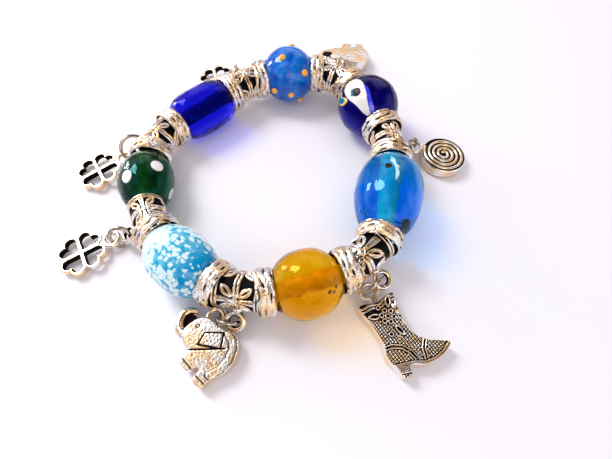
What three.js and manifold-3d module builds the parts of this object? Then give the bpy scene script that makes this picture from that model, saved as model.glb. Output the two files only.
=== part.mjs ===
// A stretch charm bracelet: seven large glass beads, cast spacer rings and seven hanger beads strung on a
// ring of elastic, with a cast charm on a jump ring at each hanger. It lies in a loop on a flat surface.
// Millimetres, +Z up.
import * as THREE from 'three';
import { mergeVertices } from 'three/addons/utils/BufferGeometryUtils.js';
import loadManifold from 'manifold-3d';

const wasm = await loadManifold();
wasm.setup();

const X_AXIS = new THREE.Vector3(1, 0, 0);
const Z_AXIS = new THREE.Vector3(0, 0, 1);

// ---- Driving dimensions ----
const SIDES = 16;              // facets round a glass bead
const METAL_SIDES = 12;        // facets round a ring or a hanger
const CLEARANCE = 0.22;        // air between the faces of strung pieces, at their nearest
const CONTACT_RADIUS = 3.15;   // circle on which neighbouring pieces would touch
const BORE_RADIUS = 2.2;       // hole through a glass bead
const RING = { width: 2.8, radius: 5.2, bore: 2.5, knurls: 5, knurlHeight: 0.12 };
const HANGER = { width: 5.6, rimRadius: 4.45, waistRadius: 3.85, bore: 2.35, rimWidth: 0.6 };
const LOOP = { radius: 1.72, wire: 0.52, reach: 6.45 };   // a cast loop; reach is from the hanger's axis
const LOOP_STEPS = 11;         // steps round a cast loop
const JUMP_WIRE = 0.47;        // half thickness of a jump ring's wire
const JUMP_STEPS = 12;         // steps round a jump ring
const WIRE_SIDES = 5;          // facets round the wire of a loop or a jump ring
const ELASTIC = { radius: 0.4, inset: 0.7, steps: 60, sides: 5 };

// The loop as it lies: a circle with a few gentle waves in its radius.
const LOOP_WAVES = [
  { waves: 2, cos: -0.057, sin: 0.029 },
  { waves: 3, cos: -0.044, sin: -0.010 },
  { waves: 4, cos: 0.006, sin: -0.019 },
];
const START_ANGLE = THREE.MathUtils.degToRad(-87);   // where the amber bead's left end lies
const RING_FOLLOWS_BEAD = 0.75;                      // a ring turns mostly with the bead that it seats on

// Glass beads. fullness 2 is an ellipse cut off by the flat ends, 4 is a barrel with round shoulders.
const BEADS = [
  { name: 'bead_amber', length: 12.5, diameter: 14.7, end: 9.2, fullness: 2.2, colour: 0xd9a017 },
  { name: 'bead_turquoise', length: 19.4, diameter: 15.7, end: 8.8, fullness: 2.2, colour: 0x0f8fd8 },
  { name: 'bead_navy', length: 13.4, diameter: 16.0, end: 9.0, fullness: 2.1, colour: 0x14145a },
  { name: 'bead_dotted_blue', length: 11.6, diameter: 15.0, end: 10.6, fullness: 2.3, colour: 0x1c4fb4 },
  { name: 'bead_cobalt', length: 14.8, diameter: 12.5, end: 9.8, fullness: 4.0, colour: 0x0808b8 },
  { name: 'bead_green', length: 13.0, diameter: 13.0, end: 8.2, fullness: 2.2, colour: 0x0c4a22 },
  { name: 'bead_sky', length: 14.8, diameter: 12.9, end: 8.2, fullness: 2.2, colour: 0x55c4e4 },
];
const RAISED_DOTS = { radius: 0.95, proud: 0.45, rows: [-3.6, 0, 3.6], perRow: 4 };

// The order on the elastic, counterclockwise from the amber bead at the front.
const ORDER = [
  'bead_amber', 'ring_01', 'hanger_boot', 'ring_02',
  'bead_turquoise', 'ring_03', 'hanger_spiral', 'ring_04',
  'bead_navy', 'ring_05', 'hanger_elephant_far', 'ring_06',
  'bead_dotted_blue', 'ring_07', 'hanger_clover_far', 'ring_08',
  'bead_cobalt', 'ring_09', 'hanger_clover_mid', 'ring_10',
  'bead_green', 'hanger_clover_near', 'ring_11',
  'bead_sky', 'ring_12', 'hanger_elephant_near', 'ring_13',
];

// Charms where they lie. heading turns the charm's own x axis, lift raises its loop's end off the surface,
// and dip is how far the hanger's loop points below the horizontal. All are in degrees. The elephants are
// alike on both faces, and the far one lies on its other side.
const CHARMS = [
  { name: 'elephant_near', kind: 'elephant', x: -11.2, y: -43.3, heading: 135, lift: 3.4, dip: 35 },
  { name: 'clover_near', kind: 'clover', x: -43.2, y: -21.3, heading: 30, lift: 5.1, dip: 28.5 },
  { name: 'clover_mid', kind: 'clover', x: -45.7, y: 3.0, heading: 34, lift: 6.4, dip: 22.3 },
  { name: 'clover_far', kind: 'clover', x: -19.3, y: 39.1, heading: 18, lift: 8.9, dip: 16.7 },
  { name: 'elephant_far', kind: 'elephant', x: 22, y: 49, heading: 183, lift: 7.9, dip: 18, flipped: true },
  { name: 'spiral', kind: 'spiral', x: 43.7, y: 7.3, heading: 153, lift: 3.9, dip: 26 },
  { name: 'boot', kind: 'boot', x: 21.1, y: -31.1, heading: -64, lift: 2.9, dip: 29 },
];

// Jump rings: outer diameter, centre, and the direction of the ring's axis: turn round z, tip above level.
const JUMP_RINGS = [
  { charm: 'elephant_near', outer: 5.7, x: -8.1, y: -37.0, z: 2.2, turn: 79, tip: 45 },
  { charm: 'clover_near', outer: 5.7, x: -35.1, y: -17.7, z: 2.6, turn: 95, tip: -28 },
  { charm: 'clover_mid', outer: 7.4, x: -37.6, y: 9.3, z: 3.3, turn: 122, tip: -31 },
  { charm: 'clover_far', outer: 6.7, x: -12.7, y: 38.1, z: 3.6, turn: 1, tip: 6.5 },
  { charm: 'elephant_far', outer: 7.4, x: 18.5, y: 40.0, z: 4.4, turn: 15, tip: -2 },
  { charm: 'spiral', outer: 6.0, x: 35.1, y: 9.3, z: 3.6, turn: 131, tip: 0 },
  { charm: 'boot', outer: 5.7, x: 22.5, y: -30.3, z: 3.9, turn: 132, tip: 13 },
];

// ---- Solids ----

// A welded, closed geometry with only positions, its faces pointing out.
function closed(geometry) {
  geometry.deleteAttribute('normal');
  geometry.deleteAttribute('uv');
  const welded = mergeVertices(geometry, 1e-4);
  const at = (i) => new THREE.Vector3().fromBufferAttribute(welded.attributes.position, i);
  const faces = [];
  let volume = 0;
  for (let i = 0; i < welded.index.count; i += 3) {
    const [a, b, c] = [0, 1, 2].map((corner) => welded.index.getX(i + corner));
    if (a === b || b === c || c === a) continue;
    faces.push([a, b, c]);
    volume += at(a).dot(at(b).cross(at(c)));
  }
  welded.setIndex(faces.flatMap(([a, b, c]) => (volume < 0 ? [a, c, b] : [a, b, c])));
  return welded;
}

function toManifold(geometry) {
  const shell = closed(geometry);
  return new wasm.Manifold(new wasm.Mesh({
    numProp: 3,
    vertProperties: new Float32Array(shell.attributes.position.array),
    triVerts: new Uint32Array(shell.index.array),
  }));
}

// Several closed geometries cast together as one solid.
function fused(geometries) {
  const [first, ...rest] = geometries.map(toManifold);
  return fromManifold(rest.reduce((whole, part) => whole.add(part), first));
}

function fromManifold(solid) {
  const mesh = solid.getMesh();
  const geometry = new THREE.BufferGeometry();
  geometry.setAttribute('position', new THREE.BufferAttribute(mesh.vertProperties, 3));
  geometry.setIndex(new THREE.BufferAttribute(mesh.triVerts, 1));
  return geometry;
}

// A solid turned about the x axis from a closed profile of [along, radius] points.
function turned(profile, sides) {
  const points = [...profile, profile[0]].map(([along, radius]) => new THREE.Vector2(radius, along));
  return new THREE.LatheGeometry(points, sides).rotateZ(-Math.PI / 2);
}

// A round wire ring flat in the xy plane.
function wireRing(radius, wire, segments) {
  return new THREE.TorusGeometry(radius, wire, WIRE_SIDES, segments);
}

// A smooth closed outline through a few [x, y] points.
function outline(points, steps) {
  const curve = new THREE.CatmullRomCurve3(points.map(([x, y]) => new THREE.Vector3(x, y, 0)), true);
  return new THREE.Shape(curve.getPoints(steps).slice(0, -1).map(({ x, y }) => new THREE.Vector2(x, y)));
}

// A flat casting of the outline with softened edges, standing on z = 0.
function casting(shape, thickness, bevel) {
  return new THREE.ExtrudeGeometry(shape, {
    depth: thickness - 2 * bevel,
    bevelThickness: bevel,
    bevelSize: bevel,
    bevelOffset: -bevel,
    bevelSegments: bevel > 0 ? 1 : 0,
    bevelEnabled: bevel > 0,
  }).translate(0, 0, bevel);
}

// A small raised leaf or boss: a stretched octahedron.
function boss(x, y, z, long, wide, high, angle = 0) {
  return new THREE.OctahedronGeometry(1).scale(long, wide, high).rotateZ(angle).translate(x, y, z);
}

// ---- Pieces on the elastic: each lies along its own x axis, with the outside of the loop at -y ----

function glassBead({ length, diameter, end, fullness }) {
  const belly = diameter / 2;
  const taper = 1 - (end / diameter) ** fullness;
  const profile = [[-length / 2, BORE_RADIUS]];
  const stations = 7;
  for (let i = 0; i <= stations; i += 1) {
    const t = -Math.cos((Math.PI * i) / stations);
    const radius = belly * (1 - Math.abs(t) ** fullness * taper) ** (1 / fullness);
    profile.push([(t * length) / 2, radius]);
  }
  profile.push([length / 2, BORE_RADIUS]);
  return turned(profile, SIDES);
}

// Raised dots of glass in staggered rows round a bead.
function dottedBead(bead) {
  const body = glassBead(bead);
  const belly = bead.diameter / 2;
  const dots = RAISED_DOTS.rows.flatMap((along, row) => {
    const taper = 1 - (bead.end / bead.diameter) ** bead.fullness;
    const t = Math.abs((2 * along) / bead.length);
    const seat = belly * (1 - t ** bead.fullness * taper) ** (1 / bead.fullness);
    return Array.from({ length: RAISED_DOTS.perRow }, (_, i) => {
      const angle = (2 * Math.PI * (i + row / 2)) / RAISED_DOTS.perRow;
      const reach = seat + RAISED_DOTS.proud - RAISED_DOTS.radius;
      return new THREE.SphereGeometry(RAISED_DOTS.radius, 6, 4)
        .translate(along, reach * Math.cos(angle), reach * Math.sin(angle));
    });
  });
  return fused([body, ...dots]);
}

// A chunky cast ring: rounded outside, its crown knurled by a few slanting swells.
function spacerRing() {
  const { width, radius, bore, knurls, knurlHeight } = RING;
  const half = [[0.42, bore], [0.5, radius - 1.5], [0.3, radius - 0.25]];
  const left = half.map(([share, r]) => [-share * width, r]);
  const right = half.map(([share, r]) => [share * width, r]).reverse();
  const ring = turned([...left, [0, radius], ...right], METAL_SIDES);
  const place = ring.attributes.position;
  for (let i = 0; i < place.count; i += 1) {
    const [x, y, z] = [place.getX(i), place.getY(i), place.getZ(i)];
    const crown = THREE.MathUtils.smoothstep(Math.hypot(y, z), radius - 1.2, radius - 0.2);
    const swell = 1 + (crown * knurlHeight * Math.cos(knurls * Math.atan2(z, y) + 1.4 * x)) / radius;
    place.setXYZ(i, x, y * swell, z * swell);
  }
  return ring;
}

// A hanger bead: a tube with raised rims, a four-leaved flower on three of its sides and a cast loop on
// the fourth, which points outwards and dip degrees down.
function hanger(dip) {
  const { width, rimRadius, waistRadius, bore, rimWidth } = HANGER;
  const half = [[0, bore], [0.45, rimRadius], [0.45 + rimWidth, rimRadius], [0.6 + rimWidth, waistRadius]];
  const left = half.map(([inset, radius]) => [inset - width / 2, radius]);
  const right = half.map(([inset, radius]) => [width / 2 - inset, radius]).reverse();
  const leaf = { long: 2.5, wide: 0.6, high: 0.55 };
  const flowers = [1, 2, 3].flatMap((quarter) => [1, 3].map((eighth) => (
    boss(0, 0, waistRadius - 0.08, leaf.long, leaf.wide, leaf.high, (eighth * Math.PI) / 4)
      .rotateX(Math.PI / 2 + (quarter * Math.PI) / 2 + dip))));
  const loop = wireRing(LOOP.radius, LOOP.wire, LOOP_STEPS)
    .translate(0, -LOOP.reach, 0)
    .rotateX(dip);
  const foot = new THREE.BoxGeometry(1.7, 1.2, 1.2).translate(0, -waistRadius - 0.4, 0).rotateX(dip);
  return fused([turned([...left, ...right], METAL_SIDES), ...flowers, foot, loop]);
}

// ---- Charms: each lies on z = 0 about its own origin, and its loop is centred at CHARM_LOOPS[kind] ----

const CHARM_LOOPS = {
  clover: new THREE.Vector3(6.95, 0, 0.85),
  elephant: new THREE.Vector3(4.4, -5.0, 2.0),
  spiral: new THREE.Vector3(7.4, 0, 1.5),
  boot: new THREE.Vector3(0, 0, 1.7),
};
// The middle of each charm, from which its loop's end is raised.
const CHARM_MIDDLES = {
  clover: new THREE.Vector3(),
  elephant: new THREE.Vector3(),
  spiral: new THREE.Vector3(),
  boot: new THREE.Vector3(6, 0, 0),
};

function charmLoop(kind) {
  return wireRing(LOOP.radius, LOOP.wire, LOOP_STEPS).translate(...CHARM_LOOPS[kind]);
}

// Adds a heart to a path, with its point turned to the origin: the straight sides meet at (tip, 0) at 90
// degrees, and run on to two lobes centred at (reach, +-spread). All are turned by angle.
function addHeart(path, angle, { tip, reach, spread }) {
  const lobe = (reach - spread - tip) / Math.SQRT2;
  const cleft = Math.acos(Math.min(1, spread / lobe));
  const side = (3 * Math.PI) / 4;
  const at = (x, y) => new THREE.Vector2(x, y).rotateAround(new THREE.Vector2(), angle);
  const [low, high] = [at(reach, -spread), at(reach, spread)];
  if (tip > 0) {
    const corner = at(tip, 0);
    const start = at(reach + lobe * Math.cos(side), -spread - lobe * Math.sin(side));
    path.moveTo(corner.x, corner.y);
    path.lineTo(start.x, start.y);
  }
  path.absarc(low.x, low.y, lobe, angle - side, angle + Math.PI / 2 - cleft, false);
  path.absarc(high.x, high.y, lobe, angle + cleft - Math.PI / 2, angle + side, false);
}

// A four-leaved clover in open work: heart-shaped frames between two crossing bars.
const CLOVER = {
  thickness: 1.7,
  frame: { tip: 0, reach: 3.78, spread: 1.3 },
  window: { tip: 0.68, reach: 3.6, spread: 1.22 },
};

function clover() {
  const { thickness, frame, window } = CLOVER;
  const plate = new THREE.Shape();
  [1, 3, 5, 7].map((eighth) => (eighth * Math.PI) / 4).forEach((angle) => {
    addHeart(plate, angle, frame);
    const opening = new THREE.Path();
    addHeart(opening, angle, window);
    plate.holes.push(opening);
  });
  const settings = { depth: thickness, bevelEnabled: false, curveSegments: 4 };
  const leaves = new THREE.ExtrudeGeometry(plate, settings);
  const neck = new THREE.BoxGeometry(2.0, 1.3, 1.1).translate(4.5, 0, thickness / 2);
  return fused([leaves, neck, charmLoop('clover')]);
}

// A thick round disc with a raised spiral of four turns on its face.
function spiral() {
  const disc = { radius: 5.7, thickness: 3.0, turns: 3.9, ridge: 0.8, height: 0.35 };
  const steps = 39;
  const band = (side) => Array.from({ length: steps + 1 }, (_, i) => {
    const angle = (i / steps) * disc.turns * 2 * Math.PI;
    const radius = 0.55 + (i / steps) * (disc.radius - 1.15) + (side * disc.ridge) / 2;
    return new THREE.Vector2(radius * Math.cos(angle), radius * Math.sin(angle));
  });
  const ridge = new THREE.ExtrudeGeometry(new THREE.Shape([...band(1), ...band(-1).reverse()]),
    { depth: disc.height + 0.2, bevelEnabled: false }).translate(0, 0, disc.thickness - 0.2);
  const edge = 0.3;
  const rim = disc.radius - edge;
  const profile = [[0, 0], [0, rim], [edge, disc.radius], [disc.thickness - edge, disc.radius],
    [disc.thickness, rim], [disc.thickness, 0]];
  const body = turned(profile, 24).rotateY(-Math.PI / 2);
  return fused([body, ridge, charmLoop('spiral')]);
}

// A western boot on its side: the loop at the top, x down the leg to the heel, y towards the toe.
const BOOT = { thickness: 3.4, bevel: 0.45, relief: 0.35, steps: 44 };
const BOOT_OUTLINE = [
  [2.5, -3.9], [3.1, 0], [2.5, 3.9], [5.0, 3.5], [9.0, 2.9], [12.2, 3.5], [14.3, 5.4], [16.3, 8.9],
  [17.6, 7.4], [18.2, 4.8], [18.0, 2.0], [17.0, 0], [17.2, -0.9], [18.4, -1.2], [18.4, -2.8],
  [15.9, -3.4], [13.8, -3.9], [10.8, -3.2], [6.5, -3.4],
];
const BOOT_STRAPS = [
  { piece: 'collar, back', from: [3.5, -3.3], to: [3.9, 0], width: 0.55 },
  { piece: 'collar, front', from: [3.9, 0], to: [3.5, 3.3], width: 0.55 },
  { piece: 'heel counter', from: [11.6, -2.6], to: [12.6, 0.4], width: 0.5 },
  { piece: 'spur strap', from: [12.6, 0.4], to: [16.3, 1.0], width: 0.5 },
  { piece: 'toe strap', from: [13.4, 3.4], to: [16.4, 2.2], width: 0.9 },
];
const BOOT_LEAVES = [
  { x: 4.3, y: 2.2, angle: 0.2 },
  { x: 5.6, y: -2.0, angle: 1.7 },
  { x: 9.6, y: 0.9, angle: 0.3 },
];
const BOOT_FLOWER = { x: 6.7, y: 0.4, radius: 1.15, petals: 6, petal: 0.5, middle: 0.6 };

// A raised band on the boot's face, from one [x, y] point to another.
function bootStrap({ from, to, width }) {
  const [start, end] = [new THREE.Vector2(...from), new THREE.Vector2(...to)];
  const run = end.clone().sub(start);
  const { x, y } = start.add(end).multiplyScalar(0.5);
  return new THREE.BoxGeometry(run.length(), width, 2 * BOOT.relief)
    .rotateZ(run.angle())
    .translate(x, y, BOOT.thickness);
}

function boot() {
  const top = BOOT.thickness;
  const { x, y, radius, petals, petal, middle: bud } = BOOT_FLOWER;
  const body = casting(outline(BOOT_OUTLINE, BOOT.steps), BOOT.thickness, BOOT.bevel);
  const flower = Array.from({ length: petals }, (_, i) => {
    const angle = (i * 2 * Math.PI) / petals;
    return boss(x + radius * Math.cos(angle), y + radius * Math.sin(angle), top, petal, petal, petal);
  });
  const leaves = BOOT_LEAVES.map((leaf) => boss(leaf.x, leaf.y, top, 1.1, 0.5, 0.5, leaf.angle));
  const neck = new THREE.BoxGeometry(1.6, 2.4, 1.6).translate(2.6, 0, top / 2);
  const relief = [...BOOT_STRAPS.map(bootStrap), ...flower, boss(x, y, top, bud, bud, bud), ...leaves];
  return fused([body, ...relief, neck, charmLoop('boot')]);
}

// An elephant on its side, trunk raised: x towards the trunk, y towards the feet, the same on both faces.
const ELEPHANT = { thickness: 3.2, bevel: 0.6, steps: 44, earProud: 0.45, trunk: 0.8, trunkSides: 6 };
const ELEPHANT_OUTLINE = [
  [-5.6, 1.0], [-5.3, -1.8], [-4.2, -3.9], [-2.4, -5.1], [-0.2, -5.1], [1.6, -4.2], [4.2, -4.0],
  [6.0, -2.8], [6.6, -0.6], [6.4, 1.6], [4.6, 2.8], [2.6, 3.4], [2.0, 5.7], [-0.4, 5.7], [-1.0, 4.0],
  [-1.9, 4.1], [-2.3, 6.0], [-4.5, 5.8], [-4.7, 3.4],
];
const EAR_OUTLINE = [[3.2, -1.2], [1.4, -3.2], [-0.4, -2.8], [-1.2, -1.0], [1.4, 1.8], [2.8, 1.6]];
const TRUNK = [[5.4, 1.4], [7.4, 1.9], [9.0, 0.7], [9.7, -1.0], [9.0, -2.4], [7.7, -2.7]];

function elephant() {
  const { thickness, bevel, steps, earProud, trunk: radius, trunkSides } = ELEPHANT;
  const middle = earProud + thickness / 2;
  const body = casting(outline(ELEPHANT_OUTLINE, steps), thickness, bevel).translate(0, 0, earProud);
  const ears = casting(outline(EAR_OUTLINE, 12), thickness + 2 * earProud, bevel / 2);
  const route = new THREE.CatmullRomCurve3(TRUNK.map(([x, y]) => new THREE.Vector3(x, y, middle)));
  const section = new THREE.Shape(Array.from({ length: trunkSides }, (_, i) => {
    const angle = (i * 2 * Math.PI) / trunkSides;
    return new THREE.Vector2(radius * Math.cos(angle), radius * Math.sin(angle));
  }));
  const trunk = new THREE.ExtrudeGeometry(section, { steps: 12, extrudePath: route });
  return fused([body, ears, trunk, charmLoop('elephant')]);
}

// ---- The string: pieces are laid round the loop on chords, as long as the piece and its share of gap ----

function loopPoint(angle, size) {
  const swell = LOOP_WAVES.reduce((sum, { waves, cos, sin }) => (
    sum + cos * Math.cos(waves * angle) + sin * Math.sin(waves * angle)), 1);
  return new THREE.Vector2(Math.cos(angle), Math.sin(angle)).multiplyScalar(size * swell);
}

// The value between low and high where test turns from true to false.
function bisect(low, high, test) {
  let [from, to] = [low, high];
  for (let i = 0; i < 48; i += 1) {
    const middle = (from + to) / 2;
    if (test(middle)) from = middle;
    else to = middle;
  }
  return from;
}

function chordAngles(pitches, size) {
  return pitches.reduce((angles, pitch) => {
    const last = angles.at(-1);
    const from = loopPoint(last, size);
    angles.push(bisect(last, last + 1.5, (angle) => loopPoint(angle, size).distanceTo(from) < pitch));
    return angles;
  }, [START_ANGLE]);
}

function widthOf(name) {
  if (name.startsWith('ring')) return RING.width;
  if (name.startsWith('hanger')) return HANGER.width;
  return BEADS.find((bead) => bead.name === name).length;
}

const wrap = (turn) => Math.atan2(Math.sin(turn), Math.cos(turn));
const count = ORDER.length;

// Places, headings and the loop's size, with gaps that let the inner edges of turned neighbours clear.
function layString() {
  let gaps = ORDER.map(() => 0.8);
  let laid;
  for (let pass = 0; pass < 6; pass += 1) {
    const pitches = ORDER.map((name, i) => widthOf(name) + (gaps[i] + gaps[(i + count - 1) % count]) / 2);
    const size = bisect(20, 45, (trial) => chordAngles(pitches, trial).at(-1) > START_ANGLE + 2 * Math.PI);
    const angles = chordAngles(pitches, size);
    const ends = angles.map((angle) => loopPoint(angle, size));
    const chords = ORDER.map((_, i) => ends[i + 1].clone().sub(ends[i]).angle());
    const headings = ORDER.map((name, i) => {
      if (!name.startsWith('ring')) return chords[i];
      const neighbours = [(i + count - 1) % count, (i + 1) % count];
      const bead = neighbours.find((n) => ORDER[n].startsWith('bead'));
      const other = neighbours.find((n) => n !== bead);
      return chords[bead] + (1 - RING_FOLLOWS_BEAD) * wrap(chords[other] - chords[bead]);
    });
    gaps = ORDER.map((_, i) => {
      const turn = Math.abs(wrap(headings[(i + 1) % count] - headings[i]));
      return CLEARANCE + 2 * CONTACT_RADIUS * Math.tan(turn / 2);
    });
    const places = ORDER.map((_, i) => ends[i].clone().add(ends[i + 1]).multiplyScalar(0.5));
    laid = { size, angles, places, headings };
  }
  return laid;
}

const string = layString();

// Height of the elastic's axis: each bead stands on the surface, and the metal between hangs level.
const beadStations = ORDER.flatMap((name, i) => {
  const bead = BEADS.find((entry) => entry.name === name);
  return bead ? [{ angle: (string.angles[i] + string.angles[i + 1]) / 2, height: bead.diameter / 2 }] : [];
});

function axisHeight(angle) {
  const turn = 2 * Math.PI;
  const first = beadStations[0];
  const stations = [...beadStations, { angle: first.angle + turn, height: first.height }];
  const along = first.angle + THREE.MathUtils.euclideanModulo(angle - first.angle, turn);
  const next = stations.findIndex((station) => station.angle > along);
  const [from, to] = [stations[next - 1], stations[next]];
  return THREE.MathUtils.mapLinear(along, from.angle, to.angle, from.height, to.height);
}

class ElasticPath extends THREE.Curve {
  getPoint(t) {
    const angle = START_ANGLE + 2 * Math.PI * t;
    const { x, y } = loopPoint(angle, string.size - ELASTIC.inset);
    return new THREE.Vector3(x, y, axisHeight(angle));
  }
}

// ---- Assembly ----

const bracelet = new THREE.Group();
const glass = (colour) => new THREE.MeshStandardMaterial({ color: colour, roughness: 0.05, metalness: 0 });
const silver = () => new THREE.MeshStandardMaterial({ color: 0xb9b4aa, roughness: 0.35, metalness: 1 });

function addPiece(name, geometry, material) {
  const mesh = new THREE.Mesh(closed(geometry), material);
  mesh.name = name;
  bracelet.add(mesh);
  return mesh;
}

const degrees = THREE.MathUtils.degToRad;

ORDER.forEach((name, i) => {
  const bead = BEADS.find((entry) => entry.name === name);
  const charm = CHARMS.find((entry) => name === `hanger_${entry.name}`);
  let geometry = spacerRing();
  if (bead) geometry = name === 'bead_dotted_blue' ? dottedBead(bead) : glassBead(bead);
  if (charm) geometry = hanger(degrees(charm.dip));
  const mesh = addPiece(name, geometry, bead ? glass(bead.colour) : silver());
  const { x, y } = string.places[i];
  mesh.position.set(x, y, axisHeight((string.angles[i] + string.angles[i + 1]) / 2));
  mesh.rotation.z = string.headings[i];
});

const makers = { clover, elephant, spiral, boot };

// Each charm is turned over if need be, tilted up towards its loop, headed, and set down on the surface.
CHARMS.forEach(({ name, kind, x, y, heading, lift, flipped }) => {
  const mesh = addPiece(`charm_${name}`, makers[kind](), silver());
  const over = new THREE.Quaternion().setFromAxisAngle(X_AXIS, flipped ? Math.PI : 0);
  const reach = CHARM_LOOPS[kind].clone().sub(CHARM_MIDDLES[kind]).applyQuaternion(over).setZ(0);
  const hinge = reach.cross(Z_AXIS).normalize();
  mesh.quaternion.setFromAxisAngle(Z_AXIS, degrees(heading))
    .multiply(new THREE.Quaternion().setFromAxisAngle(hinge, degrees(lift)))
    .multiply(over);
  const low = new THREE.Box3().setFromObject(mesh, true).min.z;
  mesh.position.set(x, y, -low);
});

JUMP_RINGS.forEach(({ charm, outer, x, y, z, turn, tip }) => {
  const wire = wireRing(outer / 2 - JUMP_WIRE, JUMP_WIRE, JUMP_STEPS);
  const mesh = addPiece(`jump_ring_${charm}`, wire, silver());
  const [across, level] = [degrees(turn), Math.cos(degrees(tip))];
  const axis = new THREE.Vector3(Math.cos(across), Math.sin(across), 0).multiplyScalar(level);
  mesh.quaternion.setFromUnitVectors(Z_AXIS, axis.setZ(Math.sin(degrees(tip))));
  mesh.position.set(x, y, z);
});

const { steps, radius: elasticRadius, sides } = ELASTIC;
const clear = new THREE.MeshStandardMaterial({ color: 0xe6e2da, roughness: 0.6, metalness: 0 });
addPiece('elastic', new THREE.TubeGeometry(new ElasticPath(), steps, elasticRadius, sides, true), clear);

// The origin is under the middle of the whole bracelet, on the surface that it lies on.
const extent = new THREE.Box3().setFromObject(bracelet, true);
const middle = extent.getCenter(new THREE.Vector3());
bracelet.position.set(-middle.x, -middle.y, -extent.min.z);

export default bracelet;
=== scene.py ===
# A stretch charm bracelet lying in a loop: seven lampwork glass beads, spacer rings and hanger beads of
# antique silver on clear elastic, and a small cast charm on a jump ring at each hanger.
import math

import bpy
import mathutils.geometry
import numpy as np
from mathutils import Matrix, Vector, noise


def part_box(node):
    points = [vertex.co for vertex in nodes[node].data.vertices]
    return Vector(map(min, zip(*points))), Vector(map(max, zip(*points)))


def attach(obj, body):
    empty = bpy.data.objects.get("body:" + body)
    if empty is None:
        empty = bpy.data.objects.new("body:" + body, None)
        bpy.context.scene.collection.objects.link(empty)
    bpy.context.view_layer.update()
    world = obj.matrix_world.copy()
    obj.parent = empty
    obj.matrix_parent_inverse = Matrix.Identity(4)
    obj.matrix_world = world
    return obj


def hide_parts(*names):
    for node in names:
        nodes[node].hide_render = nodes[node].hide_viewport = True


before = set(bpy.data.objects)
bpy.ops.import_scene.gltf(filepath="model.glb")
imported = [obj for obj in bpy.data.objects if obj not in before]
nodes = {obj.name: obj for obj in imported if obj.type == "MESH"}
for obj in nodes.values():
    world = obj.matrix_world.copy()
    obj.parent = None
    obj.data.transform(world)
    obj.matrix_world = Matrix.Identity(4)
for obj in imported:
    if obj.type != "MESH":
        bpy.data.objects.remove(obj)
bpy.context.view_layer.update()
MM = 0.001


# ---- The setting ----
# A plain pale table under a soft window at the back left and a lower one beside it, with a weak warm fill
# from the front and a room in uneven warm tones. The camera stands in front and looks down steeply.

def put_in_scene(name, data):
    made = bpy.data.objects.new(name, data)
    bpy.context.scene.collection.objects.link(made)
    return made


amber_low, amber_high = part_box("bead_amber")
aim = (amber_low + amber_high) / 2 + Vector((-0.2, 13.2, -0.35)) * MM
camera_distance = 90.5 * MM
camera_elevation = math.radians(58)
back = Vector((0, -math.cos(camera_elevation), math.sin(camera_elevation)))
camera = put_in_scene("camera", bpy.data.cameras.new("camera"))
camera.data.lens = 24.1
camera.data.sensor_width = 36
camera.data.clip_start = 0.005
camera.location = aim + back * camera_distance
camera.rotation_euler = (-back).to_track_quat("-Z", "Y").to_euler()
bpy.context.scene.camera = camera
bpy.context.scene.view_settings.view_transform = "Standard"


def soft_light(name, place, size, power, colour):
    """A rectangular light that faces the middle of the table."""
    lamp = bpy.data.lights.new(name, "AREA")
    lamp.shape = "RECTANGLE"
    lamp.size, lamp.size_y = size
    lamp.energy = power
    lamp.color = colour
    holder = put_in_scene(name, lamp)
    holder.location = place
    holder.rotation_euler = (-Vector(place)).to_track_quat("-Z", "Y").to_euler()


soft_light("window", (-0.30, 0.22, 0.42), (0.17, 0.24), 2.1, (0.99, 1.0, 0.98))
soft_light("low_window", (-0.46, 0.30, 0.15), (0.11, 0.16), 0.9, (1.0, 0.97, 0.93))
soft_light("front_fill", (0.10, -0.45, 0.30), (0.40, 0.20), 0.45, (1.0, 0.93, 0.86))


def feed(tree, value, socket):
    """Links a node's first output or a socket to this input, or sets the input's own value."""
    if isinstance(value, bpy.types.Node):
        value = next(output for output in value.outputs if output.enabled)
    if isinstance(value, bpy.types.NodeSocket):
        tree.links.new(value, socket)
    elif socket.type == "RGBA":
        socket.default_value = (*value, 1)
    else:
        socket.default_value = value


def add_node(tree, kind, *fed, **settings):
    """A new node. What is fed goes to its inputs in order, and a setting with a capital letter goes to the
    input of that name. The other settings are the node's own."""
    made = tree.nodes.new(kind)
    for label, value in settings.items():
        if label[0].islower():
            setattr(made, label, value)
    named = [(label.replace("_", " "), value) for label, value in settings.items() if label[0].isupper()]
    for place, value in [*enumerate(fed), *named]:
        feed(tree, value, made.inputs[place])
    return made


def tone_ramp(tree, share, tones):
    """Colours that run into each other, each at its place between 0 and 1."""
    made = add_node(tree, "ShaderNodeValToRGB", share)
    stops = made.color_ramp.elements
    while len(stops) < len(tones):
        stops.new(0.5)
    for stop, (place, colour) in zip(stops, tones):
        stop.position = place
        stop.color = (*colour, 1)
    return made


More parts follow.
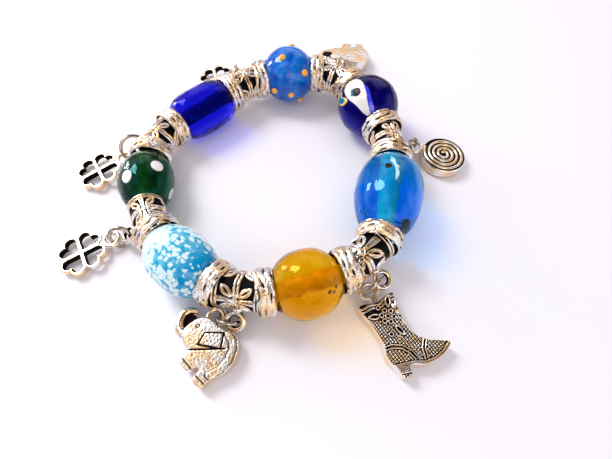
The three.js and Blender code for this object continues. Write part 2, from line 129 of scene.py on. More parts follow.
def room_world(brightness):
    """Even soft light on everything, but dim, uneven walls and ceiling in what the polish reflects."""
    world = bpy.data.worlds.new("room")
    world.use_nodes = True
    tree = world.node_tree
    tree.nodes.clear()
    where = add_node(tree, "ShaderNodeTexCoord")
    patches = add_node(tree, "ShaderNodeTexNoise", where.outputs["Generated"], Scale=1.9, Detail=1.5)
    walls = tone_ramp(tree, patches, [
        (0.37, (0.012, 0.010, 0.012)), (0.43, (0.20, 0.12, 0.07)), (0.50, (0.45, 0.38, 0.36)),
        (0.57, (0.95, 0.88, 0.88)), (0.63, (2.0, 1.9, 1.85)), (0.72, (0.8, 0.60, 0.38))])
    even = add_node(tree, "ShaderNodeBackground", (1.0, 0.95, 0.985), brightness)
    seen = add_node(tree, "ShaderNodeBackground", walls, 1.0)
    path = add_node(tree, "ShaderNodeLightPath").outputs
    mirrored = add_node(tree, "ShaderNodeMath", path["Is Glossy Ray"], path["Is Reflection Ray"],
                        operation="MULTIPLY")
    add_node(tree, "ShaderNodeOutputWorld", add_node(tree, "ShaderNodeMixShader", mirrored, even, seen))
    return world


bpy.context.scene.world = room_world(brightness=0.77)


def shader(name, base, metallic=0.0, roughness=0.5, **sockets):
    """A material with one Principled BSDF, its node tree and that shader."""
    made = bpy.data.materials.new(name)
    made.use_nodes = True
    tree = made.node_tree
    surface = tree.nodes["Principled BSDF"]
    for label, value in {"Base_Color": base, "Metallic": metallic, "Roughness": roughness, **sockets}.items():
        feed(tree, value, surface.inputs[label.replace("_", " ")])
    return made, tree, surface


half_table = 2.5
floor_mesh = bpy.data.meshes.new("table")
floor_mesh.from_pydata([(-half_table, -half_table, 0), (half_table, -half_table, 0),
                        (half_table, half_table, 0), (-half_table, half_table, 0)], [], [(0, 1, 2, 3)])
floor_mesh.materials.append(shader("table_white", (0.80, 0.785, 0.845), roughness=0.6)[0])
put_in_scene("table", floor_mesh)


# ---- How the pieces lie on the thread ----
# Beads, rings and hangers are strung in a loop. Each has its own axes: x along the thread, y towards the
# middle of the loop, z up.

def corners(node):
    """The node's different vertices, in millimetres."""
    points = np.array([v.co for v in nodes[node].data.vertices]) / MM
    return np.unique(points.round(4), axis=0)


def middle_of(points):
    return (points.min(0) + points.max(0)) / 2


def bearing(node):
    """The direction in which a piece lies from the middle of the loop."""
    x, y = (middles[node] - loop_middle)[:2]
    return math.atan2(y, x)


strung = [name for name in nodes if name.startswith(("bead", "ring", "hanger"))]
middles = {name: middle_of(corners(name)) for name in strung}
loop_middle = np.mean([middles[name] for name in strung if name.startswith("bead")], axis=0)
strung.sort(key=bearing)
beside = {name: (strung[i - 1], strung[(i + 1) % len(strung)]) for i, name in enumerate(strung)}


def own_axes(along):
    """Columns: x along the thread, y into the loop, z up."""
    x = np.array([along[0], along[1], 0]) / math.hypot(along[0], along[1])
    return np.column_stack([x, (-x[1], x[0], 0), (0, 0, 1)])


def lie_of(node):
    """Middle, axes and half length of a turned piece, from the spread of its vertices."""
    points = corners(node) - middles[node]
    spread, axes = np.linalg.eigh(np.cov(points.T))
    along = axes[:, 0] if spread[1] - spread[0] > spread[2] - spread[1] else axes[:, 2]
    if np.cross(along, middles[node] - loop_middle)[2] > 0:
        along = -along
    turned = own_axes(along)
    return middles[node], turned, (points @ turned)[:, 0].max()


lies = {name: lie_of(name) for name in strung if not name.startswith("hanger")}
# A hanger lies between its neighbours. It reaches into a ring's wide hole, but stays clear of a bead.
inside_ring, clear_of_bead = 0.9, -0.1
for name in strung:
    if name.startswith("hanger"):
        ends = [lies[other][0] + side * lies[other][1][:, 0] * lies[other][2]
                for other, side in zip(beside[name], (1, -1))]
        along = own_axes(ends[1] - ends[0])
        reach = [inside_ring if other.startswith("ring") else clear_of_bead for other in beside[name]]
        ends = [ends[0] - along[:, 0] * reach[0], ends[1] + along[:, 0] * reach[1]]
        lies[name] = ((ends[0] + ends[1]) / 2, along, float(np.linalg.norm(ends[1] - ends[0])) / 2)


def piece_of(name, points, faces, material, **attributes):
    """A smooth mesh object from points in millimetres, with any values or vectors stored at its points."""
    mesh = bpy.data.meshes.new(name)
    mesh.from_pydata((np.asarray(points) * MM).tolist(), [], faces)
    mesh.materials.append(material)
    mesh.polygons.foreach_set("use_smooth", [True] * len(mesh.polygons))
    for label, values in attributes.items():
        values = np.asarray(values, dtype=float)
        kind, field = ("FLOAT_VECTOR", "vector") if values.ndim == 2 else ("FLOAT", "value")
        mesh.attributes.new(label, kind, "POINT").data.foreach_set(field, values.ravel())
    return put_in_scene(name, mesh)


def finish_piece(made, slot, *replaced):
    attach(made, "root")
    if replaced:
        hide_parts(*replaced)


def tree_of(name, sizes):
    """A Geometry Nodes tree with a geometry input, a named input for each size and a material input. Gives
    the tree and the outputs of its input node."""
    tree = bpy.data.node_groups.new(name, "GeometryNodeTree")
    wanted = {"Geometry": "Geometry", **dict.fromkeys(sizes, "Float"), "Material": "Material"}
    for label, kind in wanted.items():
        tree.interface.new_socket(label, in_out="INPUT", socket_type="NodeSocket" + kind)
    tree.interface.new_socket("Geometry", in_out="OUTPUT", socket_type="NodeSocketGeometry")
    return tree, add_node(tree, "NodeGroupInput").outputs


def end_tree(tree, given, shape):
    """Realize Instances, Set Material and the tree's output."""
    real = add_node(tree, "GeometryNodeRealizeInstances", shape)
    skin = add_node(tree, "GeometryNodeSetMaterial", real, Material=given["Material"])
    add_node(tree, "NodeGroupOutput", skin)


def drawn_wire(tree, line, radius, sides, closed_ends=False):
    """Round wire or cord along a line."""
    section = add_node(tree, "GeometryNodeCurvePrimitiveCircle", Resolution=sides, Radius=radius)
    return add_node(tree, "GeometryNodeCurveToMesh", Curve=line, Profile_Curve=section, Fill_Caps=closed_ends)


def grown(source, tree, sizes, name):
    """The plain mesh that the tree makes of source with these sizes. Source is removed."""
    modifier = source.modifiers.new("grow", "NODES")
    modifier.node_group = tree
    for item in tree.interface.items_tree:
        if item.in_out == "INPUT" and item.name in sizes:
            modifier[item.identifier] = sizes[item.name]
    mesh = bpy.data.meshes.new_from_object(source.evaluated_get(bpy.context.evaluated_depsgraph_get()))
    mesh.name = name
    mesh.polygons.foreach_set("use_smooth", [True] * len(mesh.polygons))
    bpy.data.objects.remove(source)
    return put_in_scene(name, mesh)


# ---- The elastic ----
# Clear stretch cord, 0.8 mm thick, through every piece and tied inside a bead. It is pulled a little to
# the inside of the loop.

CORD = dict(radius=0.4, inward=0.6)
path_data = bpy.data.curves.new("elastic_path", "CURVE")
path_data.dimensions = "3D"
path_data.resolution_u = 6
run = path_data.splines.new("BEZIER")
run.bezier_points.add(len(strung) - 1)
run.use_cyclic_u = True
for knot, name in zip(run.bezier_points, strung):
    middle, axes, _ = lies[name]
    knot.co = (middle + axes[:, 1] * CORD["inward"]) * MM
    knot.handle_left_type = knot.handle_right_type = "AUTO"

clear_cord = shader("clear_cord", (0.93, 0.92, 0.90), roughness=0.25, Transmission_Weight=0.6, IOR=1.45)[0]
cord_tree, given = tree_of("cord", ["Radius"])
end_tree(cord_tree, given, drawn_wire(cord_tree, given["Geometry"], given["Radius"], sides=12))
elastic = grown(put_in_scene("elastic_path", path_data), cord_tree,
                {"Radius": CORD["radius"] * MM, "Material": clear_cord}, "elastic_thread")
finish_piece(elastic, "elastic_thread", "elastic")


# ---- The glass beads ----
# Lampwork: molten glass wound round a rod, shaped by hand and narrowed at its ends, so no bead is quite
# round. Its colour deepens with its thickness, and the rough hole that the rod leaves shows through the
# clear ones as a darker band.

BORE = 1.35


def rings_joined(rows, around, closed=False):
    """Faces between rows of points that each run round in a ring. With closed, the last joins the first."""
    return [(i * around + k, i * around + (k + 1) % around,
             (i + 1) % rows * around + (k + 1) % around, (i + 1) % rows * around + k)
            for i in range(rows if closed else rows - 1) for k in range(around)]


def dome_faces(rows, around):
    """Faces from a middle point to a first ring of points round it, and on through the rows of rings."""
    fan = [(0, 1 + k, 1 + (k + 1) % around) for k in range(around)]
    return fan + [(1 + a, 1 + d, 1 + c, 1 + b) for a, b, c, d in rings_joined(rows, around)]


def in_the_round(x, radius, around):
    """Own coordinates from x along the thread, the radius and the angle round it."""
    return np.column_stack([x, radius * np.cos(around), radius * np.sin(around)])


def turned_shell(profile, lie, segments, shape=None):
    """Points, faces and own coordinates of a closed profile of (x, radius) turned about the thread."""
    middle, axes = lie[:2]
    x, radius = np.repeat(np.array(profile), segments, axis=0).T
    around = np.tile(np.arange(segments) * 2 * math.pi / segments, len(profile))
    if shape is not None:
        x, radius = shape(x, radius, around)
    own = in_the_round(x, radius, around)
    return own @ axes.T + middle, rings_joined(len(profile), segments, closed=True), own


BEADS = {
    "bead_amber": dict(length=12.5, diameter=14.7, end=8.5, fullness=2.05, seed=3, wobble=0.22),
    "bead_turquoise": dict(length=19.4, diameter=15.7, end=8.4, fullness=2.1, seed=8, wobble=0.45),
    "bead_navy": dict(length=13.4, diameter=16.0, end=8.8, fullness=2.02, seed=5, wobble=0.2),
    "bead_dotted_blue": dict(length=11.6, diameter=15.0, end=9.4, fullness=2.1, seed=6, wobble=0.2),
    "bead_cobalt": dict(length=14.8, diameter=12.5, end=9.4, fullness=3.6, seed=7, wobble=0.35),
    "bead_green": dict(length=13.0, diameter=13.0, end=8.0, fullness=2.1, seed=1, wobble=0.2),
    "bead_sky": dict(length=14.8, diameter=13.5, end=8.4, fullness=2.2, seed=9, wobble=0.25),
}
sky_middle, sky_axes, sky_half = lies["bead_sky"]
sky_aside = (0, -0.5, 0.3)
lies["bead_sky"] = (sky_middle + sky_axes @ sky_aside, sky_axes, sky_half)
NOSE = [(0.25, 0.12), (0.55, 0.34), (0.85, 0.72), (1.05, 1.15), (1.1, 1.6)]  # beyond the end, inward


def belly_radius(node, x):
    """The radius of a bead's skin at x along the thread."""
    bead = BEADS[node]
    taper = 1 - (bead["end"] / bead["diameter"]) ** bead["fullness"]
    t = np.minimum(abs(x) / (bead["length"] / 2), 1)
    return bead["diameter"] / 2 * (1 - t ** bead["fullness"] * taper) ** (1 / bead["fullness"])


def bead_profile(node, steps):
    """A belly, a short nose at each end that fits into the ring beside it, and the hole."""
    half, end = BEADS[node]["length"] / 2, BEADS[node]["end"] / 2
    outer = [(x, float(belly_radius(node, x))) for x in -np.cos(np.linspace(0, math.pi, steps)) * half]
    nose = [(half + out, end - drop) for out, drop in NOSE]
    face = half + NOSE[-1][0]
    right = nose + [(face, (nose[-1][1] + BORE) / 2), (face - 0.05, BORE + 0.2), (face - 0.3, BORE)]
    left = [(-x, r) for x, r in reversed(right)]
    hole = [((face - 0.3) * s, BORE) for s in np.linspace(0.8, -0.8, 9)]
    return outer + right + hole + left


def unevenness(node, x, radius, around):
    """How far a bead's skin stands out or in at each place, from being shaped by hand."""
    seed, amount = BEADS[node]["seed"], BEADS[node]["wobble"]
    belly = np.clip(1.6 - 2 * abs(x) / BEADS[node]["length"], 0, 1)
    outside = np.clip((radius - BORE - 0.3) / 1.5, 0, 1) * belly
    places = in_the_round(x, radius, around)
    drift = [noise.noise(Vector(p) * 0.13 + Vector((seed, 0, 0))) for p in places]
    ripple = [noise.noise(Vector(p) * 0.4 + Vector((0, seed, 0))) for p in places]
    return outside * amount * (np.array(drift) + 0.25 * np.array(ripple))


def glass_skin(node, material):
    """The bead's outer skin and the wall of its hole, as one closed shell."""
    def shape(x, radius, turns):
        return x, radius + unevenness(node, x, radius, turns)
    points, faces, own = turned_shell(bead_profile(node, steps=48), lies[node], segments=96, shape=shape)
    return piece_of(node.replace("bead", "glass"), points, faces, material, own=own)


def on_skin(node, x, across, rise):
    """Places on a bead: x along the thread, across in millimetres round it, rise above its skin."""
    x = np.asarray(x, dtype=float)
    radius = belly_radius(node, x)
    around = np.asarray(across) / (BEADS[node]["diameter"] / 2)
    return in_the_round(x, radius + unevenness(node, x, radius, around) + rise, around)


def own_place(tree):
    """The piece's own coordinates, in millimetres."""
    return add_node(tree, "ShaderNodeAttribute", attribute_name="own").outputs["Vector"]


def swirled(tree, surface, colour, darkest, **swirls):
    """Soft swirls between a colour and a darker shade of it, in the piece's own coordinates."""
    tone = add_node(tree, "ShaderNodeTexNoise", own_place(tree), **swirls)
    darker = [darkest * channel for channel in colour]
    feed(tree, add_node(tree, "ShaderNodeMix", data_type="RGBA", Factor=tone, A=colour, B=darker),
         surface.inputs["Base Color"])


def let_light_through(tree, surface, cast):
    """Light passes straight on through the glass to what lies behind, and takes on this colour."""
    path = add_node(tree, "ShaderNodeLightPath").outputs
    either = add_node(tree, "ShaderNodeMath", path["Is Shadow Ray"], path["Is Diffuse Ray"],
                      operation="MAXIMUM")
    clear = add_node(tree, "ShaderNodeBsdfTransparent", cast)
    mix = add_node(tree, "ShaderNodeMixShader", either, surface, clear)
    feed(tree, mix, tree.nodes["Material Output"].inputs["Surface"])


def wavy(tree, surface, scale, strength):
    """The fire-polished skin's slight waves, in the piece's own coordinates."""
    waves = add_node(tree, "ShaderNodeTexNoise", own_place(tree), Scale=scale, Detail=2)
    bump = add_node(tree, "ShaderNodeBump", Distance=0.0005, Strength=strength, Height=waves)
    feed(tree, bump, surface.inputs["Normal"])


def tinted_glass(name, tint, density, cast, gloss):
    """Clear glass that takes its colour from its depth, rough on the wall of its hole."""
    polished, rubbed = 0.012, 0.35
    made, tree, surface = shader(name, (1, 1, 1), roughness=polished, Transmission_Weight=1.0, IOR=1.5,
                                 Specular_Tint=gloss)
    depth = add_node(tree, "ShaderNodeVolumeAbsorption", Color=tint, Density=density)
    feed(tree, depth, tree.nodes["Material Output"].inputs["Volume"])
    across = add_node(tree, "ShaderNodeVectorMath", own_place(tree), (0, 1, 1), operation="MULTIPLY")
    distance = add_node(tree, "ShaderNodeVectorMath", across, operation="LENGTH")
    rough = add_node(tree, "ShaderNodeMapRange", distance, BORE + 0.3, BORE + 0.05, polished, rubbed)
    feed(tree, rough, surface.inputs["Roughness"])
    wavy(tree, surface, scale=0.5, strength=0.22)
    let_light_through(tree, surface, cast)
    return made


def rod_film(node, slot, colour):
    """What the rod leaves on the wall of a clear bead's hole."""
    half = BEADS[node]["length"] / 2 + 0.3
    sunk_in, standing_in = 0.03, 0.12
    rows = [(x, BORE + sunk_in) for x in np.linspace(-half, half, 9)]
    rows += [(x, BORE - standing_in) for x in np.linspace(half, -half, 9)]
    points, faces, own = turned_shell(rows, lies[node], segments=40)
    film_clay, tree, surface = shader(node.replace("bead", "rod_clay"), colour, roughness=0.8)
    swirled(tree, surface, colour, 0.45, Scale=0.7)
    finish_piece(piece_of(node.replace("bead", "rod_film"), points, faces, film_clay, own=own), slot)


# What is left of light after a depth of glass, what it casts, what it mirrors, and what the rod leaves.
CLEAR_BEADS = {
    "amber": dict(tint=(0.962, 0.880, 0.0), density=450, cast=(1.0, 0.91, 0.30), gloss=(1.0, 0.72, 0.06),
                  film=(0.86, 0.46, 0.01)),
    "turquoise": dict(tint=(0.0, 0.884, 0.982), density=620, cast=(0.86, 0.91, 1.0),
                      gloss=(0.33, 0.75, 1.0), film=(0.4, 0.80, 0.70)),
    "cobalt": dict(tint=(0.0, 0.0, 0.88), density=400, cast=(0.76, 0.74, 1.0), gloss=(0.0, 0.02, 0.9),
                   film=(0.1, 0.1, 0.22)),
    "green": dict(tint=(0.0, 0.42, 0.22), density=400, cast=(0.84, 0.92, 0.88), gloss=(0.02, 0.45, 0.50),
                  film=(0.3, 0.5, 0.15)),
    "navy": dict(tint=(0.0, 0.0, 0.72), density=400, cast=(0.76, 0.72, 0.92), gloss=(0.16, 0.08, 0.8),
                 film=(0.3, 0.3, 0.5)),
}
for hue, glass in CLEAR_BEADS.items():
    node, slot = f"bead_{hue}", f"glass_{hue}"
    material = tinted_glass(slot, glass["tint"], glass["density"], glass["cast"], glass["gloss"])
    finish_piece(glass_skin(node, material), slot, node)
    rod_film(node, slot, glass["film"])


# ---- Inlaid glass ----
# Opaque glass laid on a bead and melted in flush: the white drop with its eye and the blue band on the
# navy bead, the white dots on the green one, the pale wisp and dark seed of the turquoise one and the
# brown seeds of the amber one. A yellow-edged teal patch on the navy bead is a painted reflection of the
# window, laid on in the same way.

def opaque_glass(name, colour, roughness=0.12, coat=1.0, **sockets):
    """Soft opaque glass under a fire-polished surface, with slight swirls of tone."""
    made, tree, surface = shader(name, colour, roughness=roughness, Coat_Weight=coat, Coat_Roughness=0.03,
                                 **sockets)
    swirled(tree, surface, colour, 0.78, Scale=0.8, Distortion=1.2)
    return made


def smooth_outline(places, steps=8):
    """A closed smooth outline through these points."""
    p = np.array(places, dtype=float)
    before, after, beyond = np.roll(p, 1, 0), np.roll(p, -1, 0), np.roll(p, -2, 0)
    t = (np.arange(steps) / steps)[:, None, None]
    curve = 0.5 * (2 * p + (after - before) * t + (2 * before - 5 * p + 4 * after - beyond) * t ** 2
                   + (3 * p - before - 3 * after + beyond) * t ** 3)
    return curve.transpose(1, 0, 2).reshape(-1, 2)


def inlay(node, name, middle, outline, material, rise):
    """A thin lens of glass on a bead's skin, its edge just under the surface."""
    outline, middle = np.asarray(outline), np.asarray(middle, dtype=float)
    rows = [(0.25, 1.0), (0.5, 1.0), (0.72, 1.0), (0.88, 0.95), (0.97, 0.6), (1.0, -0.5)]  # out, height
    thickness = 0.25
    top = [middle[None, :]] + [middle + share * (outline - middle) for share, _ in rows]
    heights = [np.full(1, rise)] + [np.full(len(outline), rise * height) for _, height in rows]
    flat, lift = np.vstack(top), np.concatenate(heights)
    skin = on_skin(node, flat[:, 0], flat[:, 1], lift)
    under = on_skin(node, flat[:, 0], flat[:, 1], np.minimum(lift, 0) - thickness)
    count, size = len(outline), len(flat)
    upper = dome_faces(len(rows), count)
    lower = [tuple(size + corner for corner in face[::-1]) for face in upper]
    edge = range(size - count, size)
    rim = [(here, size + here, size + on, on) for here, on in zip(edge, [*edge[1:], edge[0]])]
    faces = upper + lower + rim
    own = np.vstack([skin, under])
    points = own @ lies[node][1].T + lies[node][0]
    first = np.cross(own[1] - own[0], own[2] - own[0])
    if first @ (own[0] * (0, 1, 1)) < 0:
        faces = [face[::-1] for face in faces]
    finish_piece(piece_of(name, points, faces, material, own=own), node.replace("bead", "glass"))


def across_at(node, degrees):
    return math.radians(degrees) * BEADS[node]["diameter"] / 2


white_glass = opaque_glass("white_glass", (0.88, 0.85, 0.82))
eye_brown = opaque_glass("eye_brown", (0.03, 0.012, 0.006), roughness=0.25, coat=0.0, Specular_IOR_Level=0.1)
pale_wisp = opaque_glass("pale_wisp_glass", (0.42, 0.74, 0.86))
seed_brown = opaque_glass("seed_brown", (0.12, 0.035, 0.002), roughness=0.25, coat=0.0)
vivid_blue = opaque_glass("vivid_blue_glass", (0.01, 0.02, 0.75))
teal_glass = opaque_glass("teal_glass", (0.0, 0.20, 0.34))
# Yellow glass for the edge of the painted window reflection on the navy bead.
painted_glint_yellow = opaque_glass("painted_glint_yellow", (0.90, 0.62, 0.08))

# Outlines as x along the thread and degrees round it.
DROP = [(1.3, 75), (-1.5, 72), (-3.7, 66), (-6.1, 54), (-6.3, 46), (-5.9, 39), (-3.2, 40), (0.0, 36),
        (3.0, 37), (4.7, 46), (4.8, 60), (3.4, 71)]
BAND = [(0.2, 73), (-1.6, 77), (-3.8, 74), (-6.3, 66), (-6.2, 52), (-3.7, 60), (-1.5, 66)]
# Painted reflection: the window's highlight on the navy bead, drawn as a yellow-edged patch of glass.
GLINT_OUTLINE = [(1.4, 12), (-0.2, 22), (-0.4, 33), (0.9, 33), (2.2, 27), (4.0, 30), (4.8, 20), (3.4, 12)]
WISP = [(5.6, 79), (4.8, 83), (4.1, 80), (2.7, 87), (1.0, 91), (-1.6, 93), (0.2, 98), (1.4, 94), (2.2, 97),
        (3.4, 88), (4.5, 89), (5.2, 85)]
# The teal inside of the painted window reflection.
INNER_GLINT_OUTLINE = [(2 + 0.74 * (x - 2), 20 + 0.74 * (degrees - 20)) for x, degrees in GLINT_OUTLINE]
INLAYS = [
    ("bead_turquoise", "pale_wisp", (2.4, 91), WISP, pale_wisp, 0.05),
    ("bead_navy", "blue_band", (-3.6, 67), BAND, vivid_blue, 0.05),
    ("bead_navy", "white_drop", (0.9, 55), DROP, white_glass, 0.075),
    # Painted reflection of the window, as a yellow edge with teal glass inside it.
    ("bead_navy", "painted_glint_yellow_edge", (2.0, 20), GLINT_OUTLINE, painted_glint_yellow, 0.06),
    ("bead_navy", "painted_glint_teal", (2.0, 20), INNER_GLINT_OUTLINE, teal_glass, 0.09),
]
for node, name, (x, degrees), outline, material, rise in INLAYS:
    flat_outline = smooth_outline([(place, across_at(node, turn)) for place, turn in outline])
    inlay(node, name, (x, across_at(node, degrees)), flat_outline, material, rise)

SPOTS = [  # x along the thread, degrees round it, radius, glass, rise above the skin
    ("bead_turquoise", "dark_seed", 2.2, 79, 0.75, eye_brown, 0.07),
    ("bead_amber", "brown_seed_1", 3.0, 137, 0.40, seed_brown, 0.05),
    ("bead_amber", "brown_seed_2", 3.9, 141, 0.30, seed_brown, 0.05),
    ("bead_amber", "brown_seed_3", 4.6, 134, 0.34, seed_brown, 0.05),
    ("bead_navy", "teal_eye", -0.1, 51, 1.1, teal_glass, 0.095),
    ("bead_navy", "dark_eye", -0.6, 56, 1.2, eye_brown, 0.12),
]
white_dots = [(-0.2, 51, 1.5), (2.4, 115, 1.5), (-3.4, 172, 1.4), (3.0, 231, 1.5), (-1.0, 292, 1.4),
              (3.6, -12, 1.4)]
SPOTS += [("bead_green", f"white_dot_{number}", *dot, white_glass, 0.06)
          for number, dot in enumerate(white_dots, 1)]
turns = np.linspace(0, 2 * math.pi, 36, endpoint=False)
for node, name, x, degrees, radius, material, rise in SPOTS:
    middle = (x, across_at(node, degrees))
    outline = np.column_stack([x + radius * np.cos(turns), middle[1] + radius * np.sin(turns)])
    inlay(node, name, middle, outline, material, rise)


# ---- The bead with raised dots ----
# Opaque royal blue glass streaked with a lighter blue. Drops of orange glass are set on it, loosely
# scattered round and along it, and left standing out.

def streaked_blue():
    made, tree, surface = shader("royal_blue_glass", (0.01, 0.12, 0.62), roughness=0.08,
                                 Specular_IOR_Level=0.15, Coat_Weight=0.5, Coat_Roughness=0.02)
    streaks = add_node(tree, "ShaderNodeTexNoise", own_place(tree), Scale=0.28, Detail=4, Distortion=0.8)
    tone = tone_ramp(tree, streaks, [(0.35, (0.0, 0.06, 0.40)), (0.68, (0.01, 0.19, 0.66))])
    feed(tree, tone, surface.inputs["Base Color"])
    return made


finish_piece(glass_skin("bead_dotted_blue", streaked_blue()), "glass_dotted_blue", "bead_dotted_blue")

dot_tree, given = tree_of("set_dots", ["Dot radius", "Flatness"])
dome = add_node(dot_tree, "GeometryNodeMeshUVSphere", Segments=20, Rings=12, Radius=given["Dot radius"])
facing = add_node(dot_tree, "GeometryNodeInputNamedAttribute", data_type="FLOAT_VECTOR", Name="facing")
upright = add_node(dot_tree, "FunctionNodeAlignRotationToVector", Vector=facing.outputs["Attribute"])
flattened = add_node(dot_tree, "ShaderNodeCombineXYZ", 1, 1, given["Flatness"])
set_on = add_node(dot_tree, "GeometryNodeInstanceOnPoints", Points=given["Geometry"], Instance=dome,
                  Rotation=upright, Scale=flattened)
end_tree(dot_tree, given, set_on)

DOTS = dict(radius=0.9, flatness=0.62, proud=0.12)
dot_places = [(1.6, 74), (4.5, -3), (3.3, 165), (2.9, 232), (-1.6, 131), (0.0, -8), (-1.5, 208),
              (-4.1, 38), (-2.6, -42), (-4.2, 152), (-4.0, 218)]
own = on_skin("bead_dotted_blue", [x for x, _ in dot_places],
              [across_at("bead_dotted_blue", degrees) for _, degrees in dot_places], DOTS["proud"])
outward = own * (0.35, 1, 1)
middle, axes = lies["bead_dotted_blue"][:2]
seats = piece_of("dot_seats", own @ axes.T + middle, [], white_glass, facing=outward @ axes.T)
orange_glass = shader("orange_glass", (0.95, 0.37, 0.01), roughness=0.15, Coat_Weight=1.0,
                      Coat_Roughness=0.04)[0]
dot_sizes = {"Dot radius": DOTS["radius"] * MM, "Flatness": DOTS["flatness"], "Material": orange_glass}
finish_piece(grown(seats, dot_tree, dot_sizes, "raised_dots"), "glass_dotted_blue")


# ---- The frit bead ----
# Turquoise glass rolled in crushed pale glass and cased in clear, so that ragged flecks crowd together at
# one end and leave bare blue at the other.

def frit_glass():
    made, tree, surface = shader("frit_glass", (0.05, 0.5, 0.7), roughness=0.12, Specular_IOR_Level=0.2,
                                 Coat_Weight=0.6, Coat_Roughness=0.015)
    own = own_place(tree)
    bend = add_node(tree, "ShaderNodeTexNoise", own, Scale=0.9, Detail=3)
    pushed = add_node(tree, "ShaderNodeVectorMath", bend.outputs["Color"], (1.7, 1.7, 1.7), own,
                      operation="MULTIPLY_ADD")
    flecks = add_node(tree, "ShaderNodeTexVoronoi", pushed, Scale=0.86)
    crowd = add_node(tree, "ShaderNodeTexNoise", own, Scale=0.22)
    along = add_node(tree, "ShaderNodeSeparateXYZ", own)
    lean = add_node(tree, "ShaderNodeMath", along, -0.034, crowd, operation="MULTIPLY_ADD")
    edge = add_node(tree, "ShaderNodeMath", flecks, lean, operation="SUBTRACT")
    mask = add_node(tree, "ShaderNodeMapRange", edge, 0.17, -0.01, interpolation_type="SMOOTHSTEP")
    depth = tone_ramp(tree, bend, [(0.35, (0.0, 0.26, 0.50)), (0.6, (0.09, 0.53, 0.70))])
    bare_end = add_node(tree, "ShaderNodeMapRange", along, 1.0, 6.0)
    base = add_node(tree, "ShaderNodeMix", data_type="RGBA", Factor=bare_end, A=depth, B=(0.0, 0.27, 0.56))
    colour = add_node(tree, "ShaderNodeMix", data_type="RGBA", Factor=mask, A=base, B=(0.62, 0.80, 0.84))
    feed(tree, colour, surface.inputs["Base Color"])
    return made


finish_piece(glass_skin("bead_sky", frit_glass()), "glass_sky", "bead_sky")


# ---- The spacer rings ----
# Broad rings cast in a silvery alloy, with a few ridges running round them and a hammered, uneven
# surface. Their hollows are blackened and their high places polished, as on all the metal here. The wall
# of each ring's hole is painted dark as shade.

def silver_group():
    """Polished high places and blackened hollows, with pits and slow changes of tone. The input that
    darkens blackens patina and painted shade alike, and the warm gold of the tone is a painted reflection.
    """
    group = bpy.data.node_groups.new("antique_silver", "ShaderNodeTree")
    for label in ("Recess", "Pit size", "Pit depth", "Polish"):
        group.interface.new_socket(label, in_out="INPUT", socket_type="NodeSocketFloat")
    for label, kind in (("Color", "Color"), ("Roughness", "Float"), ("Normal", "Vector")):
        group.interface.new_socket(label, in_out="OUTPUT", socket_type="NodeSocket" + kind)
    given = add_node(group, "NodeGroupInput").outputs
    place = add_node(group, "ShaderNodeTexCoord").outputs["Object"]
    millimetres = add_node(group, "ShaderNodeVectorMath", place, operation="SCALE", Scale=1000)
    tone = add_node(group, "ShaderNodeTexNoise", millimetres, Scale=0.35, Detail=3)
    # Slow changes between warm gold and pale silver: the gold is a painted reflection of a warm room.
    silver = tone_ramp(group, tone, [(0.42, (0.93, 0.69, 0.43)), (0.62, (0.91, 0.90, 0.92))])
    pits = add_node(group, "ShaderNodeTexNoise", millimetres, Scale=given["Pit size"], Detail=4)
    speckle = add_node(group, "ShaderNodeMath", pits, 0.5, given["Recess"], operation="MULTIPLY_ADD")
    black = add_node(group, "ShaderNodeMapRange", speckle, 0.48, 0.85, interpolation_type="SMOOTHSTEP")
    colour = add_node(group, "ShaderNodeMix", data_type="RGBA", Factor=black, A=silver,
                      B=(0.010, 0.009, 0.010))
    rough = add_node(group, "ShaderNodeMath", black, 0.4, given["Polish"], operation="MULTIPLY_ADD")
    dent = add_node(group, "ShaderNodeBump", Distance=0.0004, Strength=given["Pit depth"], Height=pits)
    add_node(group, "NodeGroupOutput", colour, rough, dent)
    return group


antique_silver = silver_group()


def silver_material(name, pit_size, pit_depth, polish):
    made, tree, surface = shader(name, (0.8, 0.78, 0.75), metallic=1.0)
    # What each piece darkens: patina in its hollows, and painted shade where light falls little.
    recess = add_node(tree, "ShaderNodeAttribute", attribute_name="recess").outputs["Fac"]
    finish = add_node(tree, "ShaderNodeGroup", node_tree=antique_silver, Recess=recess, Pit_size=pit_size,
                      Pit_depth=pit_depth, Polish=polish)
    for label, socket in (("Color", "Base Color"), ("Roughness", "Roughness"), ("Normal", "Normal")):
        feed(tree, finish.outputs[label], surface.inputs[socket])
    return made


def smoothstep(low, high, value):
    t = np.clip((value - low) / (high - low), 0, 1)
    return t * t * (3 - 2 * t)


ring_silver = silver_material("hammered_silver", pit_size=1.9, pit_depth=0.7, polish=0.17)
RING = dict(width=3.7, radius=5.25, bore=4.35, to_hanger=0.1)
half_band = RING["width"] / 2


